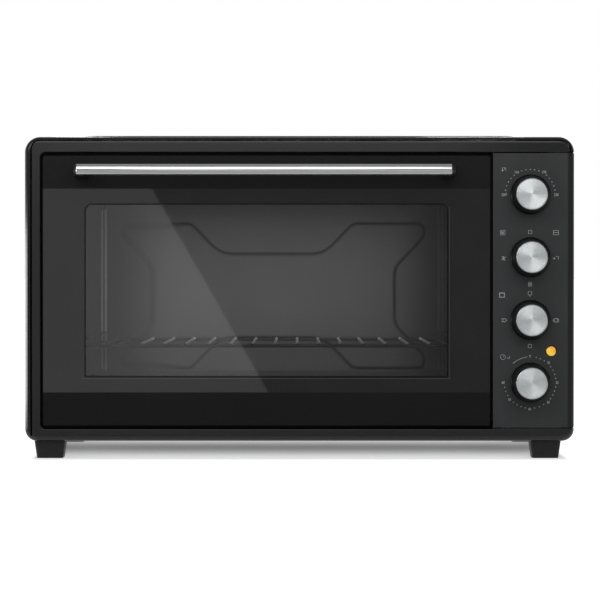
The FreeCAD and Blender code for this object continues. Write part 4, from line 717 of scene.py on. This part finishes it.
class Marks:
    """Collects printed strokes, dots and numbers on the panel's face, as flat shapes in millimetres."""

    def __init__(self):
        self.points = []
        self.faces = []
        self.count = 0

    def add(self, points, faces):
        self.points.append(np.asarray(points, float))
        self.faces += [[self.count + index for index in face] for face in faces]
        self.count += len(points)

    def stroke(self, line, width=INK_WIDTH):
        """A ribbon along a line of points: each point moves half the width to both sides, along the mean of
        the normals of the runs that meet there."""
        line = np.asarray(line, float)
        runs = np.diff(line, axis=0)
        runs /= np.linalg.norm(runs, axis=1)[:, None]
        ahead = np.concatenate([runs, runs[-1:]])
        behind = np.concatenate([runs[:1], runs])
        if np.allclose(line[0], line[-1]):
            ahead[-1] = runs[0]
            behind[0] = runs[-1]
        mean = ahead + behind
        mean /= np.linalg.norm(mean, axis=1)[:, None]
        side = np.stack([-mean[:, 1], mean[:, 0]], -1)
        reach = width / 2 / np.clip((mean * ahead).sum(1), 0.5, 1)[:, None]
        both = np.stack([line + side * reach, line - side * reach], 1).reshape(-1, 2)
        faces = [[2 * i, 2 * i + 1, 2 * i + 3, 2 * i + 2] for i in range(len(line) - 1)]
        self.add(both, faces)

    def arc(self, middle, radius, start, finish, width=INK_WIDTH, steps=24):
        """An arc between two angles in degrees, anticlockwise from the right."""
        angles = np.radians(np.linspace(start, finish, steps + 1))
        self.stroke(np.array(middle) + radius * np.stack([np.cos(angles), np.sin(angles)], -1), width)

    def dot(self, x, z, radius=0.48):
        angles = np.linspace(0, 2 * math.pi, DOT_SIDES, endpoint=False)
        points = np.array([x, z]) + radius * np.stack([np.cos(angles), np.sin(angles)], -1)
        self.add(points, [list(range(DOT_SIDES))])

    def box(self, x, z, width, height, stroke=INK_WIDTH):
        w, h = width / 2, height / 2
        self.stroke([(x - w, z - h), (x + w, z - h), (x + w, z + h), (x - w, z + h), (x - w, z - h)], stroke)

    def fan(self, x, z, size, width=0.4):
        """Four bent blades round a point."""
        for blade in range(4):
            turn = math.radians(90 * blade + 45)
            tip = (x + size * math.cos(turn), z + size * math.sin(turn))
            bend = (x + 0.6 * size * math.cos(turn - 0.4), z + 0.6 * size * math.sin(turn - 0.4))
            self.stroke([(x, z), bend, tip], width)

    def number(self, text, x, z, height=2.7):
        """A printed label, centred on a point."""
        curve = bpy.data.curves.new("number", "FONT")
        curve.body = text
        curve.align_x = "CENTER"
        curve.align_y = "CENTER"
        curve.size = height / FIGURE_SHARE
        holder = add_object("number", curve)
        bpy.context.view_layer.update()
        mesh = bpy.data.meshes.new_from_object(holder.evaluated_get(bpy.context.evaluated_depsgraph_get()))
        points = np.zeros(len(mesh.vertices) * 3)
        mesh.vertices.foreach_get("co", points)
        points = points.reshape(-1, 3)[:, :2] * (FIGURE_SQUEEZE, 1) + (x, z)
        self.add(points, [list(face.vertices) for face in mesh.polygons])
        bpy.data.objects.remove(holder)
        bpy.data.curves.remove(curve)
        bpy.data.meshes.remove(mesh)


def on_dial(name, angle, radius):
    """A point in millimetres at an angle clockwise from the top of a dial."""
    x, _, z = centre(name + "_knob_cap")
    turn = math.radians(angle)
    return x * 1000 + radius * math.sin(turn), z * 1000 + radius * math.cos(turn)


def make_marks():
    """The dots and labels round the numbered dials, and small signs above, below and beside every dial, each
    placed from the middle of its dial."""
    ink = Marks()
    for step in range(19):
        if step % 6:
            ink.dot(*on_dial("temperature", -90 + 10 * step, TEMPERATURE_DOTS))
    for angle, text in ((-91, "OFF"), (-31.7, "110"), (31.7, "170"), (91, "230")):
        ink.number(text, *on_dial("temperature", angle, TEMPERATURE_LABELS))
    x, z = on_dial("temperature", 0, 0)
    ink.stroke([(x - 27.8, z + 24.4), (x - 27.8, z + 27.0)], 0.4)
    ink.dot(x - 27.8, z + 24.0, 0.7)
    ink.arc((x - 26.0, z + 26.6), 0.45, 0, 360, 0.25, 12)
    ink.arc((x - 24.4, z + 25.4), 1.0, 60, 300, 0.3, 12)

    x, z = on_dial("function", 0, 0)
    ink.box(x - 27.5, z + 24.6, 4.6, 4.6, 0.3)
    ink.fan(x - 27.7, z + 24.6, 1.9)
    ink.box(x - 0.1, z + 25.2, 3.4, 3.4, 0.3)
    ink.box(x + 25.8, z + 24.6, 5.2, 4.4, 0.32)
    ink.stroke([(x + 23.3, z + 24.6), (x + 28.3, z + 24.6)], 0.32)
    ink.fan(x - 26.6, z - 1.1, 2.6, 0.45)
    ink.stroke([(x - 26.6, z - 3.0), (x - 26.6, z + 0.8)], 0.35)
    ink.stroke([(x + 22.6, z - 1.2), (x + 25.4, z - 1.2)], 0.45)
    ink.stroke([(x + 24.0, z - 2.4), (x + 24.0, z + 0.2)], 0.45)
    ink.stroke([(x + 25.6, z + 1.0), (x + 28.2, z + 0.4), (x + 28.2, z - 2.2)], 0.35)
    ink.box(x - 0.1, z - 27.0, 3.2, 4.2, 0.22)
    ink.fan(x - 0.1, z - 27.0, 1.7, 0.45)

    x, z = on_dial("heat", 0, 0)
    ink.box(x - 28.2, z + 24.8, 5.2, 4.6, 0.3)
    for side in (-1, 1):
        ink.stroke([(x - 28.2 + side * 2.2, z + 22.6), (x - 28.2 + side * 2.2, z + 27.0)], 0.25)
        ink.stroke([(x - 30.4, z + 24.8 + side * 1.9), (x - 26.0, z + 24.8 + side * 1.9)], 0.25)
    ink.box(x - 0.3, z + 26.6, 3.6, 3.2, 0.3)
    ink.stroke([(x - 0.3, z + 24.9), (x - 0.3, z + 22.8)], 0.35)
    ink.box(x - 25.8, z - 0.4, 2.8, 3.0, 0.35)
    for side in (-1, 1):
        ink.stroke([(x - 28.8, z - 0.4 + side * 1.3), (x - 27.6, z - 0.4 + side * 1.3)], 0.4)
    ink.dot(x - 23.2, z - 0.4, 0.35)
    ink.box(x + 25.9, z - 0.4, 3.0, 3.6, 0.35)
    ink.stroke([(x + 23.8, z + 0.8), (x + 22.8, z - 0.4), (x + 23.8, z - 1.6)], 0.35)
    ink.stroke([(x + 28.0, z + 1.2), (x + 28.6, z - 0.4), (x + 28.0, z - 2.0)], 0.3)
    ink.box(x - 0.3, z - 26.2, 3.4, 3.0, 0.35)
    ink.stroke([(x - 0.3, z - 24.6), (x - 0.3, z - 23.6)], 0.3)

    for start, finish in zip((TIMER_START,) + TIMER_ANGLES[:-1], TIMER_ANGLES):
        gaps = round((finish - start) / TIMER_DOT_STEP)
        for step in range(1, gaps):
            ink.dot(*on_dial("timer", start + (finish - start) * step / gaps, TIMER_DOTS))
    for index, angle in enumerate(TIMER_ANGLES):
        ink.number(str(10 * (index + 1)), *on_dial("timer", angle, TIMER_LABELS), 2.6)
    x, z = on_dial("timer", 0, 0)
    ink.arc((x, z), TIMER_ARC, 96.5, 132, 0.4, 20)
    ink.stroke([(x - 0.9, z + 27.4), (x, z + 26.0), (x + 0.9, z + 27.4)], 0.4)
    ink.stroke([(x, z + 26.0), (x, z + 24.6)], 0.4)
    ink.arc((x - 27.2, z + 25.4), 2.5, 0, 360, 0.3)
    ink.stroke([(x - 27.2, z + 25.4), (x - 26.2, z + 26.4)], 0.3)
    ink.arc((x - 21.6, z + 25.2), 1.3, 180, 420, 0.32)
    lay_ink(ink)


def lay_ink(ink):
    """A thin layer of ink on the panel's face, its faces turned to the front."""
    flat = np.concatenate(ink.points) / 1000
    points = np.stack([flat[:, 0], np.full(len(flat), FACE - INK_RISE), flat[:, 1]], -1)
    mesh = bpy.data.meshes.new("dial_marks")
    mesh.from_pydata(points.tolist(), [], ink.faces)
    work = bmesh.new()
    work.from_mesh(mesh)
    work.normal_update()
    bmesh.ops.reverse_faces(work, faces=[face for face in work.faces if face.normal.y > 0])
    work.to_mesh(mesh)
    work.free()
    mesh.materials.append(finishes["dial_ink"])
    marks = add_object("dial_marks", mesh)
    layer = marks.modifiers.new("ink layer", "SOLIDIFY")
    layer.thickness = INK_RISE * 0.8
    layer.offset = -1
    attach(marks, "oven_body")


def make_handle():
    """The bar, turned from a profile whose ends are rounded by 0.6 mm."""
    low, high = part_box("handle_bar")
    radius = (high[2] - low[2]) / 2
    corners = [(0, low[0]), (radius, low[0]), (radius, high[0]), (0, high[0])]
    profile = rounded(corners, [0, 0.0006, 0.0006, 0], steps=5)
    angles = np.linspace(0, 2 * math.pi, 96, endpoint=False)
    middle = (0, (low[1] + high[1]) / 2, (low[2] + high[2]) / 2)
    points = turned_points(profile, angles, middle, "x")
    add_piece("polished_handle_bar", points, True, "door", "steel_handle", "handle_bar", 35)


make_back_wall()
for dial in DIALS:
    make_knob(dial)
    make_cap(dial)
make_marks()
make_handle()


# Studio

# How bright the floor glows under the oven, further back and just before it; it is white beside the oven
GLOW_UNDER, GLOW_AWAY, GLOW_BEFORE = 0.13, 0.4, 0.25
SHADOW_Y = FACE + 0.205


def make_floor():
    """A wide pale floor that keeps the oven's contact shadow, deepened by a painted shadow where its glow is
    lowest under the oven, and fades to the white of the studio round it. Reflections see its glow only near
    the oven's front and behind it."""
    mesh = bpy.data.meshes.new("floor")
    mesh.from_pydata([(-40, -30, 0), (40, -30, 0), (40, 60, 0), (-40, 60, 0)], [], [(0, 1, 2, 3)])
    floor = add_object("floor", mesh)
    t = new_finish("studio_floor")
    x, y, _ = t.axes()
    beside = (x.size() - BODY_HALF_WIDTH).between(-0.02, 0.0).most((y - REAR).between(-0.01, 0.06))
    away = (y - SHADOW_Y).size().between(0.0, 0.22)
    before = (FACE - y).between(-0.005, 0.03)
    mirrored = y.between(FACE - 0.3, FACE - 0.1) * 0.12 + y.between(FACE - 0.08, FACE + 0.02) * 0.88
    seen = (t.is_ray("Camera") + t.is_ray("Glossy") * mirrored + t.is_ray("Transmission")).least(1.0)
    # painted shadow: the glow is lowest under the oven's middle and rises towards its front and back
    glow = (GLOW_UNDER + away * GLOW_AWAY + before * GLOW_BEFORE).most(beside) * seen
    paper = t.noise(0.3, 2.0)
    pale = t.mix(paper, (0.79, 0.79, 0.79), (0.81, 0.81, 0.81))
    diffuse = t.node("ShaderNodeBsdfDiffuse", None, {"Color": pale})
    light = t.node("ShaderNodeEmission", None, {"Color": (1, 1, 1), "Strength": glow})
    t.show(t.node("ShaderNodeAddShader", None, {0: diffuse, 1: light}))
    mesh.materials.append(finishes["studio_floor"])


def rectangle(left, low, right, high):
    return [(left, low), (right, low), (right, high), (left, high)]


def make_upright_card(name, corners, y, level):
    """A card parallel to the oven's front, from its (x, z) corners."""
    make_card(name, [(x, y, z) for x, z in corners], level)


def make_card(name, corners, level):
    """A flat studio card that shows only in reflections."""
    mesh = bpy.data.meshes.new(name)
    mesh.from_pydata(corners, [], [tuple(range(len(corners)))])
    card = add_object(name, mesh)
    t = new_finish(name)
    t.show(t.node("ShaderNodeEmission", None, {"Color": (1, 1, 1), "Strength": level}))
    mesh.materials.append(finishes[name])
    card.visible_camera = False
    card.visible_diffuse = False
    card.visible_shadow = False
    card.visible_transmission = False


AMBIENT = 0.3


def make_world():
    """White for the eye. Reflections see it white behind the oven, and dim in front, overhead and at the
    right. For light it is an even low level."""
    world = bpy.data.worlds.new("studio")
    bpy.context.scene.world = world
    t = Tree(world)
    x, y, z = t.axes("Generated")
    seen = (t.is_ray("Camera") + t.is_ray("Transmission")).least(1.0)
    glossy = t.is_ray("Glossy")
    overhead = z.between(0.25, 0.6)
    level = AMBIENT + y.between(0.0, 0.4) * (1 - AMBIENT)
    level = level * (1 - overhead) + overhead * AMBIENT
    level = level * (1 - x.between(0.4, 0.8) * 0.6)
    strength = seen + (1 - seen) * (glossy * level + (1 - glossy) * AMBIENT)
    t.show(t.node("ShaderNodeBackground", None, {"Color": (1, 1, 1), "Strength": strength}),
           "ShaderNodeOutputWorld")


def area_light(name, place, aim, width, height, radiance):
    """A rectangular lamp of an even radiance, turned towards a point, that doesn't show in reflections."""
    lamp = bpy.data.lights.new(name, "AREA")
    lamp.shape = "RECTANGLE"
    lamp.size = width
    lamp.size_y = height
    lamp.energy = radiance * math.pi * width * height
    made = add_object(name, lamp)
    made.location = place
    heading = np.array(aim, float) - np.array(place, float)
    made.rotation_euler = (math.atan2(math.hypot(heading[0], heading[1]), -heading[2]), 0,
                           math.atan2(-heading[0], heading[1]))
    made.visible_glossy = False
    made.visible_camera = False


def make_camera():
    camera = bpy.data.cameras.new("camera")
    camera.lens = camera.sensor_width * CAMERA_DISTANCE / PICTURE_WIDTH
    camera.clip_end = 200
    made = add_object("camera", camera)
    made.location = (CAMERA_X, FACE - CAMERA_DISTANCE, CAMERA_HEIGHT)
    made.rotation_euler = (math.pi / 2 - math.atan(HORIZON_RISE * PICTURE_WIDTH / CAMERA_DISTANCE), 0, 0)
    bpy.context.scene.camera = made


# How far the cards before the oven stand from its front, and how far one card stands before another
CARD_DISTANCE = 1.5
CARD_STEP = 0.01


def on_card(x, z):
    """The point of a card before the oven whose mirror image shows at this point of the glass."""
    spread = 1 + CARD_DISTANCE / CAMERA_DISTANCE
    return x * spread, CAMERA_HEIGHT + (z - CAMERA_HEIGHT) * spread


def make_studio():
    """Floor, world, camera, cards and lamps. The glass mirrors the flag, a dim card that covers all of it,
    and the reflected card, whose slanting right edge shows across the window. The other cards show in the
    frame, the handle bar and the caps, or as bright strips on the casing's top edge."""
    make_floor()
    make_world()
    make_camera()
    glass_low, glass_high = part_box("door_glass")
    front = FACE - CARD_DISTANCE
    covered = rectangle(glass_low[0] - 0.02, glass_low[2] - 0.01, glass_high[0] + 0.02, glass_high[2] + 0.02)
    make_upright_card("studio_flag", [on_card(x, z) for x, z in covered], front, 0.25)
    top, bottom = on_card(-0.1475, glass_high[2]), on_card(-0.0312, glass_low[2])
    slope = (bottom[0] - top[0]) / (bottom[1] - top[1])
    above = (top[0] + slope * 0.03, top[1] + 0.03)
    below = (bottom[0] - slope * 0.01, bottom[1] - 0.01)
    left = on_card(glass_low[0] - 0.012, 0)[0]
    slanted = [(left, below[1]), below, above, (left, above[1])]
    make_upright_card("reflected_card", slanted, front + CARD_STEP, 0.8)
    for name, edges, y, level in (("frame_card", (-0.42, 0.34, 0.27, 0.62), front, 1.25),
                                  ("upper_card", (-2.6, 0.62, 0.5, 2.2), front, 1.9),
                                  ("upper_right_card", (0.5, 0.62, 2.6, 2.2), front, 0.8),
                                  ("upper_left_card", (-2.6, 0.75, -0.5, 2.3), front + CARD_STEP, 2.6)):
        make_upright_card(name, rectangle(*edges), y, level)
    strip = rectangle(FACE - 0.4, 0.0, FACE + 0.9, 0.244)
    make_card("left_strip", [(-1.2, y, z) for y, z in strip], 8.5)
    for name, left, right in (("top_left_card", -0.368, -0.289), ("top_right_card", 0.19, 0.331)):
        make_upright_card(name, rectangle(left, 0.42, right, 0.95), FACE + 1.6, 9)
    area_light("key", (0.5, FACE - 1.6, 0.75), (0.05, FACE, 0.17), 0.9, 0.9, 2.4)
    area_light("overhead", (0, 0.3, 2.4), (0, 0.0, 0), 3.0, 2.4, 0.5)
    area_light("oven_light", (-0.04, FACE + 0.275, 0.168), (-0.04, FACE + 0.345, 0.168), 0.33, 0.15, 1.6)
    area_light("rack_light", (-0.03, FACE + 0.18, 0.25), (-0.03, FACE + 0.18, 0.1), 0.3, 0.2, 1)
    bpy.context.scene.view_settings.view_transform = "Standard"


make_studio()
